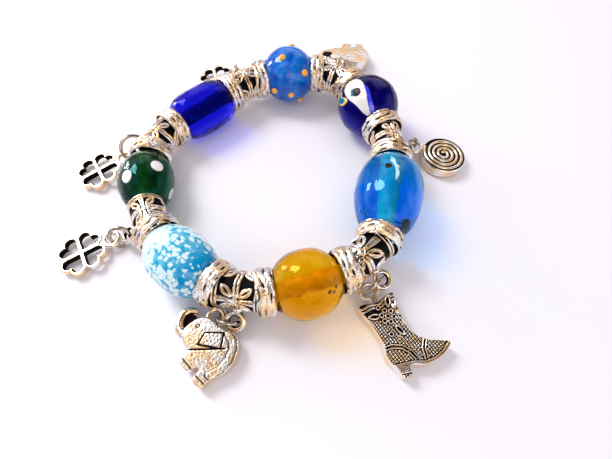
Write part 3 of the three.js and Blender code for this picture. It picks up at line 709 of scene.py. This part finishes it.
def hammered(seed):
    """Two or three ridges round the band that wander and merge, crossed by slanting dents."""
    rim, ridges_to_a_millimetre, ridge_height, dent_depth = 5.2, 0.72, 0.09, 0.22

    def shape(x, radius, around):
        outside = smoothstep(RING["radius"] - 0.75, RING["radius"] - 0.40, radius)
        dents, hollowed = np.zeros(len(x)), np.zeros(len(x))
        for i in np.flatnonzero(outside > 0):
            a = around[i]
            spot = Vector((rim * math.cos(a), rim * math.sin(a), x[i] * 0.8 + seed * 7.3))
            wander = noise.noise(spot * 0.25) * 0.8
            ridge = math.cos(2 * math.pi * (ridges_to_a_millimetre * x[i] + wander))
            slant = Vector((rim * a + x[i] * 1.3, x[i] * 0.45 - a, seed * 3.1))
            blow = noise.noise(spot * 0.6 + Vector((0, 0, 0.6 * x[i]))) + 0.35 * noise.noise(slant * 1.1)
            dents[i] = ridge_height * ridge + dent_depth * blow
            hollowed[i] = max(0.0, -0.75 * ridge - 0.9 * blow - 0.34)
        # Painted shade: the wall of the hole and the inner edge of the flat sides turn black.
        painted_shade_in_hole = smoothstep(RING["bore"] + 0.2, RING["bore"] + 0.1, radius)
        shape.recess = np.maximum(np.clip(hollowed * outside, 0, 1), painted_shade_in_hole)
        return x, radius + (dents - 0.15) * outside
    return shape


def band_profile():
    """A crowned band, flat narrow sides and a wide hole."""
    crown = [(x, RING["radius"] - 0.38 * abs(x / half_band) ** 3)
             for x in np.linspace(-half_band + 0.12, half_band - 0.12, 26)]
    edge = crown[-1][1] - 0.1
    side = [(half_band, edge), (half_band, 4.62), (half_band - 0.06, RING["bore"] + 0.08),
            (half_band - 0.25, RING["bore"])]
    back = [(-x, r) for x, r in reversed(side)]
    return crown + side + [(0.6, RING["bore"]), (-0.6, RING["bore"])] + back


def ring_lie(node):
    """The ring as it hangs on the thread, a little towards its hanger."""
    middle, axes, half = lies[node]
    side = 1 if beside[node][1].startswith("hanger") else -1
    return middle + side * RING["to_hanger"] * axes[:, 0], axes, half


for number, node in enumerate(name for name in strung if name.startswith("ring")):
    relief = hammered(number)
    points, faces, _ = turned_shell(band_profile(), ring_lie(node), segments=150, shape=relief)
    ring = piece_of(node.replace("ring", "spacer"), points, faces, ring_silver, recess=relief.recess)
    finish_piece(ring, "ring_pewter", node)


# ---- The hanger beads ----
# Short cast tubes with a double rim at each end and a four-leaved flower repeated round them on a
# blackened ground. A round loop stands out from the side, with a rounded boss at its foot. The tubes'
# ends and holes are painted dark as shade.

hanger_silver = silver_material("carved_silver", pit_size=2.2, pit_depth=0.15, polish=0.16)
HANGER = dict(bore=2.35, ground=3.48, relief=0.48, rims=1.25, cell=8.2)
LOOP = dict(radius=1.72, wire=0.58, reach=6.45)
BOSS = dict(reach=4.0, sizes=(1.05, 0.95, 0.75))
# Where a flower's middle lies along and round its hanger, and its size. The others turn with the loop.
FLOWER_AT = {"hanger_elephant_near": (0, 148, 1.1), "hanger_clover_near": (0, 92, 1.0),
             "hanger_boot": (-1.7, 92, 1.3)}


def flower(along, across):
    """Height of the flower above its ground, from 0 to 1."""
    a, b = abs(along), abs(across)
    on, off = (a + b) / math.sqrt(2), (a - b) / math.sqrt(2)
    s = (on - 2.55) / 1.68
    leaf = smoothstep(0.07, -0.07, abs(off) - 0.82 * (1 - s * s))
    slot = smoothstep(0.06, -0.06, abs(off) - 0.19 * (1 - (s / 0.55) ** 2))
    vein = smoothstep(0.10, 0.0, abs(abs(off) - 0.42)) * (1 - (s / 0.8) ** 2).clip(0, 1)
    petal_half = np.minimum(0.36 + 0.12 * (a - 0.75), 0.66)
    petal = smoothstep(0.07, -0.07, np.maximum(b - petal_half, np.maximum(0.72 - a, a - 3.9)))
    groove = smoothstep(0.10, 0.02, b) * smoothstep(1.1, 1.4, a)
    round_petal = smoothstep(0.07, -0.07, np.maximum(a - 0.62, np.maximum(0.72 - b, b - 4.05)))
    seam = smoothstep(0.12, 0.03, a) * smoothstep(1.1, 1.4, b)
    diamond = smoothstep(0.98, 0.82, a + b)
    ring_cut = smoothstep(0.16, 0.04, abs(a + b - 0.62))
    height = np.maximum(leaf * (1 - 0.9 * slot - 0.35 * vein), petal * (1 - 0.75 * groove))
    height = np.maximum(height, round_petal * (1 - 0.75 * seam))
    return np.maximum(height, 1.15 * diamond * (1 - 0.5 * ring_cut))


def carved(flower_at, flower_turn, bloom, half):
    """The relief round a hanger: flowers between two double rims."""
    pattern_radius = 4.0

    def shape(x, radius, around):
        outside = smoothstep(3.0, 3.3, radius)
        across = (around - flower_turn) * pattern_radius
        across = (across + HANGER["cell"] / 2) % HANGER["cell"] - HANGER["cell"] / 2
        edge = half - abs(x)
        between_rims = smoothstep(HANGER["rims"] + 0.02, HANGER["rims"] + 0.12, edge)
        inner_rim = smoothstep(HANGER["rims"], HANGER["rims"] - 0.10, edge) * smoothstep(0.72, 0.82, edge)
        outer_rim = smoothstep(0.58, 0.48, edge) * smoothstep(-0.02, 0.12, edge)
        height = flower((x - flower_at) / bloom, across / bloom) * between_rims
        height = np.maximum(height, np.maximum(0.9 * inner_rim, 1.1 * outer_rim))
        # Painted shade on the tube's ends and in its hole, under 3 mm from the axis; the ground between the
        # flowers and rims is blackened patina.
        shape.recess = np.where(radius < 3.0, 0.8, outside * (1 - smoothstep(0.25, 0.75, height)))
        return x, np.where(outside > 0, HANGER["ground"] + HANGER["relief"] * height, radius)
    return shape


def tube_profile(half):
    """The tube's outside, its narrow ends and its hole. The relief gives the outside its radius."""
    outer = [(x, 3.8) for x in np.linspace(-half, half, 96)]
    mouth = [(half, 3.1), (half, 2.7), (half - 0.1, HANGER["bore"] + 0.1), (half - 0.3, HANGER["bore"])]
    return outer + mouth + [(-x, r) for x, r in reversed(mouth)]


def torus(centre, axes, radius, wire, steps=48, sides=16):
    """Points and faces of a round wire ring in the plane of the first two axes."""
    u = np.repeat(np.arange(steps) * 2 * math.pi / steps, sides)
    v = np.tile(np.arange(sides) * 2 * math.pi / sides, steps)
    flat = radius + wire * np.cos(v)
    local = np.column_stack([flat * np.cos(u), flat * np.sin(u), wire * np.sin(v)])
    faces = [(a, d, c, b) for a, b, c, d in rings_joined(steps, sides, closed=True)]
    return local @ np.array(axes) + centre, faces


def ball(centre, axes, sizes, steps=20, rings=12):
    """Points and faces of an ellipsoid with these half sizes along these axes."""
    tilts = [math.pi * i / rings for i in range(1, rings)]
    turns = [2 * math.pi * k / steps for k in range(steps)]
    local = [(math.sin(tilt) * math.cos(a), math.sin(tilt) * math.sin(a), math.cos(tilt))
             for tilt in tilts for a in turns]
    local = [(0, 0, 1.0), *local, (0, 0, -1.0)]
    last, start = len(local) - 1, len(local) - 1 - steps
    faces = dome_faces(rings - 1, steps) + [(last, start + (k + 1) % steps, start + k) for k in range(steps)]
    return (np.array(local) * sizes) @ np.array(axes) + centre, faces


def joined(*shells):
    """Points and faces of several shells as one."""
    points, faces, start = [], [], 0
    for some, those in shells:
        points.append(np.asarray(some, dtype=float))
        faces += [tuple(k + start for k in face) for face in those]
        start += len(some)
    return np.vstack(points), faces


for node in (name for name in strung if name.startswith("hanger")):
    middle, axes, half = lies[node]
    around_axis = (corners(node) - middle) @ axes[:, 1:]
    farthest_first = around_axis[np.argsort(-np.linalg.norm(around_axis, axis=1))]
    loop_y, loop_z = farthest_first[:8].mean(0)
    loop_turn = math.atan2(loop_z, loop_y)
    flower_at, flower_turn, bloom = FLOWER_AT.get(node, (0, math.degrees(loop_turn) - 90, 1.05))
    relief = carved(flower_at, math.radians(flower_turn), bloom, half)
    tube_shell = turned_shell(tube_profile(half), lies[node], segments=264, shape=relief)[:2]
    out = axes[:, 1] * math.cos(loop_turn) + axes[:, 2] * math.sin(loop_turn)
    loop_axes = [axes[:, 0], out, np.cross(axes[:, 0], out)]
    loop_centre = middle + out * LOOP["reach"]
    loop = torus(loop_centre, loop_axes, LOOP["radius"], LOOP["wire"])
    boss = ball(middle + out * BOSS["reach"], loop_axes, BOSS["sizes"])
    points, faces = joined(tube_shell, loop, boss)
    # The inside of the loop's wire is made darker.
    inside_loop = smoothstep(LOOP["radius"] - 0.15, LOOP["radius"] - 0.5,
                             np.linalg.norm(loop[0] - loop_centre, axis=1))
    hollow = np.concatenate([relief.recess, 0.9 * inside_loop, np.zeros(len(boss[0]))])
    hanger = piece_of(node.replace("hanger", "flower_tube"), points, faces, hanger_silver, recess=hollow)
    finish_piece(hanger, "hanger_pewter", node)


# ---- The jump rings ----
# Round steel wire bent into a ring, each through a hanger's loop and its charm's loop.

wire_steel = shader("bright_wire", (0.50, 0.46, 0.42), metallic=1.0, roughness=0.14)[0]
link_tree, given = tree_of("round_link", ["Link radius", "Wire radius"])
bend = add_node(link_tree, "GeometryNodeCurvePrimitiveCircle", Resolution=72,
                Radius=given["Link radius"])
end_tree(link_tree, given, drawn_wire(link_tree, bend, given["Wire radius"], sides=18))


def shell_of(mesh):
    """A mesh's points and faces."""
    points = np.zeros(len(mesh.vertices) * 3)
    mesh.vertices.foreach_get("co", points)
    return points.reshape(-1, 3), [tuple(face.vertices) for face in mesh.polygons]


def grown_shell(mesh, tree, sizes):
    """Points and faces of what the tree makes of a mesh, or of nothing, with these sizes."""
    made = grown(put_in_scene("shell", mesh or bpy.data.meshes.new("shell")), tree, sizes, "shell")
    shell = shell_of(made.data)
    bpy.data.objects.remove(made)
    return shell


wire_radius = 0.47
for node in (name for name in nodes if name.startswith("jump_ring")):
    places = corners(node)
    centre = places.mean(0)
    _, spread = np.linalg.eigh(np.cov((places - centre).T))
    level = spread[:, [2, 1, 0]].T
    if np.linalg.det(level) < 0:
        level[2] *= -1
    outer = np.linalg.norm(places - centre, axis=1).max()
    sizes = {"Link radius": outer - wire_radius, "Wire radius": wire_radius, "Material": wire_steel}
    points, faces = grown_shell(None, link_tree, sizes)
    made = piece_of(node.replace("jump_ring", "wire_ring"), points @ level + centre, faces, wire_steel)
    finish_piece(made, "jump_ring_steel", node)


# ---- The charms ----
# Small castings of the same silvery alloy, each in one with a loop that hangs on its jump ring. They lie
# on the table with their loops held up a little by the rings.

charm_silver = silver_material("cast_silver", pit_size=1.8, pit_depth=0.25, polish=0.20)
CHARMS = {
    "charm_elephant_near": dict(kind="elephant", place=(-10.215, -45.544), heading=135, lift=3.4),
    "charm_clover_near": dict(kind="clover", place=(-42.215, -23.544), heading=30, lift=5.1),
    "charm_clover_mid": dict(kind="clover", place=(-44.715, 0.756), heading=34, lift=6.4),
    "charm_clover_far": dict(kind="clover", place=(-18.315, 36.856), heading=18, lift=8.9),
    "charm_elephant_far": dict(kind="elephant", place=(22.985, 46.756), heading=183, lift=7.9, flipped=True),
    "charm_spiral": dict(kind="spiral", place=(44.685, 5.056), heading=153, lift=3.9),
    "charm_boot": dict(kind="boot", place=(22.085, -33.344), heading=-64, lift=2.9),
}
LOOP_AT = {"clover": (6.95, 0, 0.85), "elephant": (4.4, -5.0, 2.0), "spiral": (7.4, 0, 1.5),
           "boot": (0, 0, 1.7)}
RAISED_FROM = {"boot": (6, 0)}


def turn(axis, degrees):
    """A turn about an axis as a matrix."""
    axis, angle = np.array(axis, dtype=float), math.radians(degrees)
    axis /= np.linalg.norm(axis)
    x, y, z = axis
    cross = np.array([[0, -z, y], [z, 0, -x], [-y, x, 0]])
    return np.eye(3) + math.sin(angle) * cross + (1 - math.cos(angle)) * cross @ cross


def laid_down(node, points):
    """The charm's points turned, lifted at its loop's end and set down on the table."""
    charm = CHARMS[node]
    over = turn((1, 0, 0), 180 if charm.get("flipped") else 0)
    start = RAISED_FROM.get(charm["kind"], (0, 0))
    reach = over @ (np.array(LOOP_AT[charm["kind"]]) - (*start, 0))
    hinge = (reach[1], -reach[0], 0)
    lie = turn((0, 0, 1), charm["heading"]) @ turn(hinge, charm["lift"]) @ over
    placed = points @ lie.T
    floor_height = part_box(node)[0].z / MM
    return placed + (*charm["place"], floor_height - placed[:, 2].min())


def plate(outlines, thickness, base=0):
    """A flat plate with these outlines, the first outside and the rest holes, as points and faces."""
    rings = [[Vector((x, y, 0)) for x, y in outline] for outline in outlines]
    flat = [corner for ring in rings for corner in ring]
    count = len(flat)
    points = [(p.x, p.y, z) for z in (base, base + thickness) for p in flat]
    faces = []
    for a, b, c in mathutils.geometry.tessellate_polygon(rings):
        up = (flat[b] - flat[a]).cross(flat[c] - flat[a]).z > 0
        a, b, c = (a, b, c) if up else (a, c, b)
        faces += [(a + count, b + count, c + count), (a, c, b)]
    start = 0
    for ring in rings:
        size = len(ring)
        area = sum(p.x * q.y - q.x * p.y for p, q in zip(ring, [*ring[1:], ring[0]]))
        outward = (area > 0) == (start == 0)
        for i in range(size):
            here, on = start + i, start + (i + 1) % size
            wall = (here, on, on + count, here + count)
            faces.append(wall if outward else wall[::-1])
        start += size
    return np.array(points), faces


def block(low, high):
    """A box between two opposite corners, as points and faces."""
    (a, b, c), (d, e, f) = low, high
    return plate([[(a, b), (d, b), (d, e), (a, e)]], f - c, base=c)


def mesh_of(points, faces):
    mesh = bpy.data.meshes.new("shell")
    mesh.from_pydata(np.asarray(points).tolist(), [], faces)
    return mesh


def spread_out(values, edges):
    """Each value replaced by the mean of its neighbours' values."""
    total = np.zeros_like(values)
    count = np.zeros(len(values))
    for a, b in (edges.T, edges.T[::-1]):
        np.add.at(total, a, values[b])
        np.add.at(count, a, 1)
    return total / np.maximum(count, 1).reshape((-1,) + (1,) * (values.ndim - 1))


def cast_in_one(shells, grain, smoothing=3):
    """The shells' common skin, as a casting with softened edges, as points, faces and edges."""
    holder = put_in_scene("shells", mesh_of(*joined(*shells)))
    skin = holder.modifiers.new("skin", "REMESH")
    skin.mode = "VOXEL"
    skin.voxel_size = grain
    made = bpy.data.meshes.new_from_object(holder.evaluated_get(bpy.context.evaluated_depsgraph_get()))
    bpy.data.objects.remove(holder)
    edges = np.zeros(len(made.edges) * 2, dtype=int)
    made.edges.foreach_get("vertices", edges)
    edges = edges.reshape(-1, 2)
    places, faces = shell_of(made)
    for _ in range(smoothing):
        places = places + 0.5 * (spread_out(places, edges) - places)
    return places, faces, edges


def normals_of(points, faces):
    mesh = mesh_of(points, faces)
    normals = np.zeros(len(points) * 3)
    mesh.vertices.foreach_get("normal", normals)
    bpy.data.meshes.remove(mesh)
    return normals.reshape(-1, 3)


def hollows(points, faces, edges, depth, rounds=14):
    """How far each point lies below the skin's smoothed surface, from 0 to 1."""
    smooth = points
    for _ in range(rounds):
        smooth = smooth + 0.9 * (spread_out(smooth, edges) - smooth)
    below = ((smooth - points) * normals_of(points, faces)).sum(1)
    return np.clip(below / depth, 0, 1)


def cast_loop(kind):
    """The loop of this kind of charm, in the plane of its face."""
    return torus(np.array(LOOP_AT[kind]), np.eye(3), LOOP["radius"], LOOP["wire"])


def finish_charm(node, points, faces, dark):
    charm = piece_of(node.replace("charm", "cast"), laid_down(node, points), faces, charm_silver, recess=dark)
    finish_piece(charm, "charm_pewter", node)


# ---- The clovers ----
# Three alike, flat and open: four heart-shaped frames joined at their tips, and a short neck to the loop.
# Their side walls are dark, partly patina and partly painted shade, darkest inside the openings.

def heart(tip, reach, spread):
    """An outline from its tip round two lobes that lie side by side."""
    lobe = (reach - spread - tip) / math.sqrt(2)
    cleft = math.acos(min(1, spread / lobe))
    side = 0.75 * math.pi
    lobes = [(-spread, np.linspace(-side, math.pi / 2 - cleft, 20)),
             (spread, np.linspace(cleft - math.pi / 2, side, 20))]
    return [(tip, 0)] + [(reach + lobe * math.cos(a), aside + lobe * math.sin(a))
                         for aside, angles in lobes for a in angles]


round_tree, given = tree_of("set_round_a_middle", ["Count", "First turn"])
middle_points = add_node(round_tree, "GeometryNodePoints", given["Count"])
index = add_node(round_tree, "GeometryNodeInputIndex")
share = add_node(round_tree, "ShaderNodeMath", index, given["Count"], operation="DIVIDE")
angle = add_node(round_tree, "ShaderNodeMath", share, 2 * math.pi, given["First turn"],
                 operation="MULTIPLY_ADD")
spin = add_node(round_tree, "ShaderNodeCombineXYZ", Z=angle)
copies = add_node(round_tree, "GeometryNodeInstanceOnPoints", Points=middle_points,
                  Instance=given["Geometry"], Rotation=spin)
end_tree(round_tree, given, copies)

clover_thickness = 1.7
leaf_outlines = [heart(tip=-0.12, reach=3.7, spread=1.28), heart(tip=0.58, reach=3.58, spread=1.22)]
leaf = plate(leaf_outlines, clover_thickness)
four = {"Count": 4, "First turn": math.pi / 4, "Material": charm_silver}
leaves = grown_shell(mesh_of(*leaf), round_tree, four)
neck = block((4.0, -0.65, 0.3), (5.5, 0.65, 1.4))
points, faces, edges = cast_in_one([leaves, neck, cast_loop("clover")], grain=0.13)
normals = normals_of(points, faces)
to_leaf_middle = 2.5
leaf_middles = to_leaf_middle / math.sqrt(2) * np.sign(points[:, :2])
faces_leaf = ((leaf_middles - points[:, :2]) * normals[:, :2]).sum(1) > 0
# Dark side walls: partly patina, partly painted shade, strongest on the walls facing into the openings.
dark = smoothstep(0.45, 0.15, abs(normals[:, 2])) * np.where(faces_leaf, 1.0, 0.25)
dark *= smoothstep(5.6, 5.0, np.hypot(points[:, 0], points[:, 1]))
for node in ("charm_clover_near", "charm_clover_mid", "charm_clover_far"):
    finish_charm(node, points, faces, dark)


# ---- The spiral ----
# A thick round disc with a ridge wound from its middle to its edge over a blackened ground. A groove runs
# round its side, and a short neck joins it to the loop.

def capped(rows, around):
    """Faces between rows of points that each run round in a ring, with a flat cap at each end."""
    first, last = range(around), range((rows - 1) * around, rows * around)
    return [*rings_joined(rows, around), tuple(reversed(first)), tuple(last)]


DISC = dict(radius=5.7, thickness=3.0, turns=4.0, ridge=0.86)
ridge_tree, given = tree_of("wound_ridge", ["Turns", "Start", "End", "Ridge"])
winding = add_node(ridge_tree, "GeometryNodeCurveSpiral", Resolution=60, Rotations=given["Turns"],
                   Start_Radius=given["Start"], End_Radius=given["End"], Height=0)
half_ridge = add_node(ridge_tree, "ShaderNodeMath", given["Ridge"], 0.5, operation="MULTIPLY")
end_tree(ridge_tree, given, drawn_wire(ridge_tree, winding, half_ridge, sides=10, closed_ends=True))
ridge_sizes = {"Turns": DISC["turns"], "Start": 0.45, "End": DISC["radius"] - 0.5, "Ridge": DISC["ridge"],
               "Material": charm_silver}
ridge_points, ridge_faces = grown_shell(None, ridge_tree, ridge_sizes)
ridge = (ridge_points + (0, 0, DISC["thickness"] - 0.02), ridge_faces)
rim = np.linspace(0, 2 * math.pi, 72, endpoint=False)
# The disc's side from below, as how far in from the rim and how high. A groove runs round its middle.
disc_side = [(0.35, 0), (0.0, 0.4), (0.0, 1.2), (0.2, 1.4), (0.0, 1.6), (0.0, 2.6), (0.35, DISC["thickness"])]
disc_points = [((DISC["radius"] - inset) * math.cos(a), (DISC["radius"] - inset) * math.sin(a), z)
               for inset, z in disc_side for a in rim]
disc = (disc_points, capped(len(disc_side), len(rim)))
neck = block((5.2, -0.7, 0.8), (6.3, 0.7, 2.2))
points, faces, edges = cast_in_one([disc, ridge, neck, cast_loop("spiral")], grain=0.11)
valley = smoothstep(DISC["thickness"] + 0.25, DISC["thickness"] + 0.10, points[:, 2])
valley *= smoothstep(DISC["thickness"] - 0.25, DISC["thickness"] - 0.10, points[:, 2])
valley *= smoothstep(DISC["radius"] - 0.1, DISC["radius"] - 0.3, np.hypot(points[:, 0], points[:, 1]))
finish_charm("charm_spiral", points, faces, np.maximum(valley, hollows(points, faces, edges, 0.16)))


# ---- The boot ----
# A tooled western boot, flat behind, with a pointed toe and a small heel. Cords, leaves and berries stand
# out from a woven, blackened ground. The loop joins its top edge.

BOOT_OUTLINE = [
    (2.5, -3.9), (3.1, 0), (2.5, 3.9), (5.0, 3.5), (9.0, 2.9), (12.2, 3.5), (14.3, 5.4), (16.3, 8.9),
    (17.6, 7.4), (18.2, 4.8), (18.0, 2.0), (17.0, 0), (17.2, -0.9), (18.4, -1.2), (18.4, -2.8),
    (15.9, -3.4), (13.8, -3.9), (10.8, -3.2), (6.5, -3.4),
]
COUNTER = [(12.0, -4.2), (12.3, -2.0), (13.2, -0.3), (14.8, 0.8), (17.4, 1.5)]
STRAP = [(13.6, 4.9), (15.2, 3.5), (17.6, 2.8)]
SOLE = [(16.9, 9.4), (18.0, 7.2), (18.6, 4.8), (18.4, 2.2), (17.4, 0.2), (17.0, -1.4), (16.3, -4.2)]
LEAVES = [(3.95, 2.05, -0.45), (5.7, -2.15, 1.27), (10.2, 1.15, 0.27)]  # middle and turn
BERRIES = [(6.7, 0.4, 0.56), (4.4, -0.5, 0.52), (10.2, -0.9, 0.55)]  # middle and radius
BERRIES += [(6.7 + 1.25 * math.cos(k * math.pi / 3), 0.4 + 1.25 * math.sin(k * math.pi / 3), 0.56)
            for k in range(6)]
boot_thickness = 3.4
weave_pitch = 0.56


def away_from(x, y, route):
    """Distance of each place from an open line through these points."""
    nearest = np.full(len(x), 1e9)
    for (ax, ay), (bx, by) in zip(route, route[1:]):
        run = np.array([bx - ax, by - ay])
        t = np.clip(((x - ax) * run[0] + (y - ay) * run[1]) / (run @ run), 0, 1)
        nearest = np.minimum(nearest, np.hypot(x - ax - t * run[0], y - ay - t * run[1]))
    return nearest


def raised(distance, half_width, soft=0.07):
    """1 within this half width of a line and 0 beyond it, with a soft edge."""
    return smoothstep(half_width + soft, half_width - soft, distance)


def ringed(height, dark, distance, rim_width):
    """A raised outline with a dark inside, where distance is measured outwards from its edge."""
    inside = smoothstep(0.04, -0.04, distance)
    pit = smoothstep(-rim_width + 0.05, -rim_width - 0.05, distance)
    round_about = smoothstep(0.22, 0.10, distance) * (1 - inside)
    height = height * (1 - inside) + inside * (0.30 - 0.36 * pit) - 0.12 * round_about
    return height, np.maximum(dark * (1 - inside), np.maximum(pit, round_about))


def tooling(x, y):
    """Height of the boot's tooled face above its surface, and how dark its ground is."""
    wires = [abs(place / weave_pitch % 1 - 0.5) * weave_pitch for place in (x + 0.25 * y, y - 0.12 * x)]
    weave = np.maximum(*(raised(distance, 0.09, 0.05) for distance in wires))
    upper = smoothstep(7.6, 6.6, x + 0.5 * abs(y + 1.0))
    height = -0.20 * weave * (1 - upper) - 0.16 * upper
    dark = np.maximum(weave * (1 - upper), (0.55 + 0.45 * weave) * upper)
    pebble = smoothstep(2.2, 2.6, y) * smoothstep(10.5, 9.0, x)
    grain = np.array([noise.noise(Vector((a * 1.6, b * 1.6, 4))) for a, b in zip(x, y)])
    height += pebble * 0.25 * grain
    dark = np.where(pebble > 0.5, np.clip(0.2 - 1.5 * grain, 0, 1), dark)
    top_edge = 3.1 - 0.55 * (y / 3.9) ** 2 + 0.22 * np.cos(y * 1.7)
    cords = [  # distance, half width, height
        (abs(x - top_edge - 0.45), 0.24, 0.22),
        (abs(x - top_edge - 1.15), 0.20, 0.16),
        (abs(away_from(x, y, COUNTER) - 0.33), 0.13, 0.18),
        (abs(away_from(x, y, STRAP) - 0.32), 0.15, 0.18),
    ]
    for distance, half_width, lift in cords:
        line = raised(distance, half_width)
        shade = raised(distance, half_width + 0.16) - line
        height = height * (1 - line) + lift * line - 0.14 * shade
        dark = np.maximum(dark * (1 - line), shade)
    for cx, cy, turned_by in LEAVES:
        a = (x - cx) * math.cos(turned_by) + (y - cy) * math.sin(turned_by)
        b = (y - cy) * math.cos(turned_by) - (x - cx) * math.sin(turned_by)
        leaf = abs(b) - 0.64 * (1 - np.clip(abs(a) / 1.45, 0, 1) ** 2) + np.maximum(abs(a) - 1.45, 0)
        height, dark = ringed(height, dark, leaf, 0.32)
    for cx, cy, size in BERRIES:
        height, dark = ringed(height, dark, np.hypot(x - cx, y - cy) - size, 0.23)
    to_sole = away_from(x, y, SOLE)
    smooth_sole = raised(to_sole, 0.95)
    groove = raised(abs(to_sole - 1.08), 0.10)
    height = height * (1 - smooth_sole) + 0.05 * smooth_sole - 0.2 * groove
    return height, np.maximum(dark * (1 - smooth_sole), groove)


def tooled(points, faces, edges, pattern, top):
    """The pattern pressed into the upward face, and the whole skin's hollows."""
    normals = normals_of(points, faces)
    faced = smoothstep(0.45, 0.85, normals[:, 2]) * smoothstep(top - 0.9, top - 0.5, points[:, 2])
    height, dark = pattern(points[:, 0], points[:, 1])
    shaped = points + np.column_stack([np.zeros((len(points), 2)), height * faced])
    return shaped, np.maximum(hollows(shaped, faces, edges, 0.2), dark * faced)


boot_plate = plate([smooth_outline(BOOT_OUTLINE)], boot_thickness - 0.35, base=0.2)
neck = block((1.5, -0.9, 1.0), (3.6, 0.9, 2.4))
points, faces, edges = cast_in_one([boot_plate, neck, cast_loop("boot")], grain=0.085, smoothing=10)
points, dark = tooled(points, faces, edges, tooling, boot_thickness)
finish_charm("charm_boot", points, faces, dark)


# ---- The elephants ----
# Two alike, the far one lying on its face: a thick body with its trunk raised and curled, a pricked ear
# that stands out, cut lines along the belly, back and toes, and the loop at its back. A low sheet fills
# the trunk's curl and is painted dark as shade.

ELEPHANT_OUTLINE = [
    (-5.6, 1.0), (-5.3, -1.8), (-4.2, -3.9), (-2.4, -5.1), (-0.2, -5.1), (1.6, -4.2), (4.2, -4.0),
    (6.0, -2.8), (6.6, -0.6), (6.4, 1.6), (4.6, 2.8), (2.6, 3.4), (2.0, 5.7), (-0.4, 5.7), (-1.0, 4.0),
    (-1.9, 4.1), (-2.3, 6.0), (-4.5, 5.8), (-4.7, 3.4),
]
TRUNK = [(5.4, 1.4), (7.4, 1.9), (9.0, 0.7), (9.7, -1.0), (9.0, -2.4), (7.7, -2.7)]
# A low sheet in the trunk's curl, there only to carry painted shade.
SHADE_SHEET = [(5.9, 0.9), (6.2, -1.9), (8.0, -2.6), (9.3, -1.2), (8.2, 1.2)]  # behind the trunk's curl
EAR = [(2.1, 1.1), (2.9, -1.4), (0.3, -4.0), (-1.7, -1.5)]
EDGING = [(-0.6, -4.4), (-2.4, -4.1), (-3.6, -3.0), (-4.5, -1.2), (-4.7, 1.0), (-4.0, 3.2)]
TOES = ([(-4.8, 4.9), (-2.0, 5.1)], [(-0.6, 4.9), (2.2, 4.9)])
elephant_top = 3.55


def quilting(x, y):
    """Height and darkness of the elephant's face: its pricked ear, eye and cut lines."""
    ear = [*EAR, EAR[0]]
    inside = np.zeros(len(x), dtype=bool)
    for (ax, ay), (bx, by) in zip(ear, ear[1:]):
        crosses = (ay > y) != (by > y)
        inside ^= crosses & (x < (bx - ax) * (y - ay) / (by - ay + 1e-12) + ax)
    to_ear = away_from(x, y, ear)
    height = np.where(inside, 0.30, 0.0) * smoothstep(0.0, 0.3, to_ear)
    groove = raised(abs(to_ear - 0.02), 0.14)
    dots = np.hypot(x * 1.3 % 1 - 0.5, (y * 1.3 + 0.5 * np.floor(x * 1.3)) % 1 - 0.5)
    pricks = raised(dots, 0.16) * np.where(inside, 1, 0) * smoothstep(0.3, 0.5, to_ear)
    belly = raised(away_from(x, y, [(2.5, 2.9), (-2.3, -2.2)]), 0.17)
    seam = raised(abs(away_from(x, y, EDGING) - 0.75), 0.09) * smoothstep(1.2, 0.0, x)
    toes = [raised(away_from(x, y, toe), 0.10) for toe in TOES]
    eye = raised(abs(np.hypot(x - 5.0, y + 1.2) - 0.35), 0.09)
    cut = np.maximum.reduce([groove, belly, seam, *toes, eye])
    return height - 0.24 * cut - 0.12 * pricks, np.maximum(cut, 0.8 * pricks)


def tube(route, radii, sides=14):
    """A closed tube with flat ends through points at one height."""
    ahead = np.gradient(route, axis=0)
    ahead /= np.linalg.norm(ahead, axis=1)[:, None]
    across = np.column_stack([-ahead[:, 1], ahead[:, 0], np.zeros(len(route))])
    angles = np.arange(sides) * 2 * math.pi / sides
    points = [c + r * (math.cos(a) * s + math.sin(a) * np.array([0, 0, 1]))
              for c, s, r in zip(route, across, radii) for a in angles]
    return np.array(points), capped(len(route), sides)


trunk_height = 2.05
trunk_steps = 6
trunk_line = smooth_outline(TRUNK, trunk_steps)[:(len(TRUNK) - 1) * trunk_steps + 1]  # without the way back
trunk_line = np.column_stack([trunk_line, np.full(len(trunk_line), trunk_height)])
trunk_size = np.interp(np.arange(len(trunk_line)), (0, 12, 24, 30), (1.25, 0.95, 0.72, 0.62))
body = plate([smooth_outline(ELEPHANT_OUTLINE)], elephant_top - 0.55, base=0.55)
shade_sheet = plate([SHADE_SHEET], 0.9, base=0.9)
parts = [body, tube(trunk_line, trunk_size), shade_sheet, cast_loop("elephant")]
points, faces, edges = cast_in_one(parts, grain=0.115, smoothing=12)
points, dark = tooled(points, faces, edges, quilting, elephant_top)
# Painted shade: the sheet and the trunk's lower inside within the curl turn black.
curl_x, curl_y = 7.6, -0.7
shade_in_curl = smoothstep(1.7, 1.3, np.hypot(points[:, 0] - curl_x, points[:, 1] - curl_y))
on_shade_sheet = smoothstep(trunk_height + 0.1, trunk_height - 0.1, points[:, 2])
dark = np.maximum(dark, shade_in_curl * on_shade_sheet)
for node in ("charm_elephant_near", "charm_elephant_far"):
    finish_charm(node, points, faces, dark)
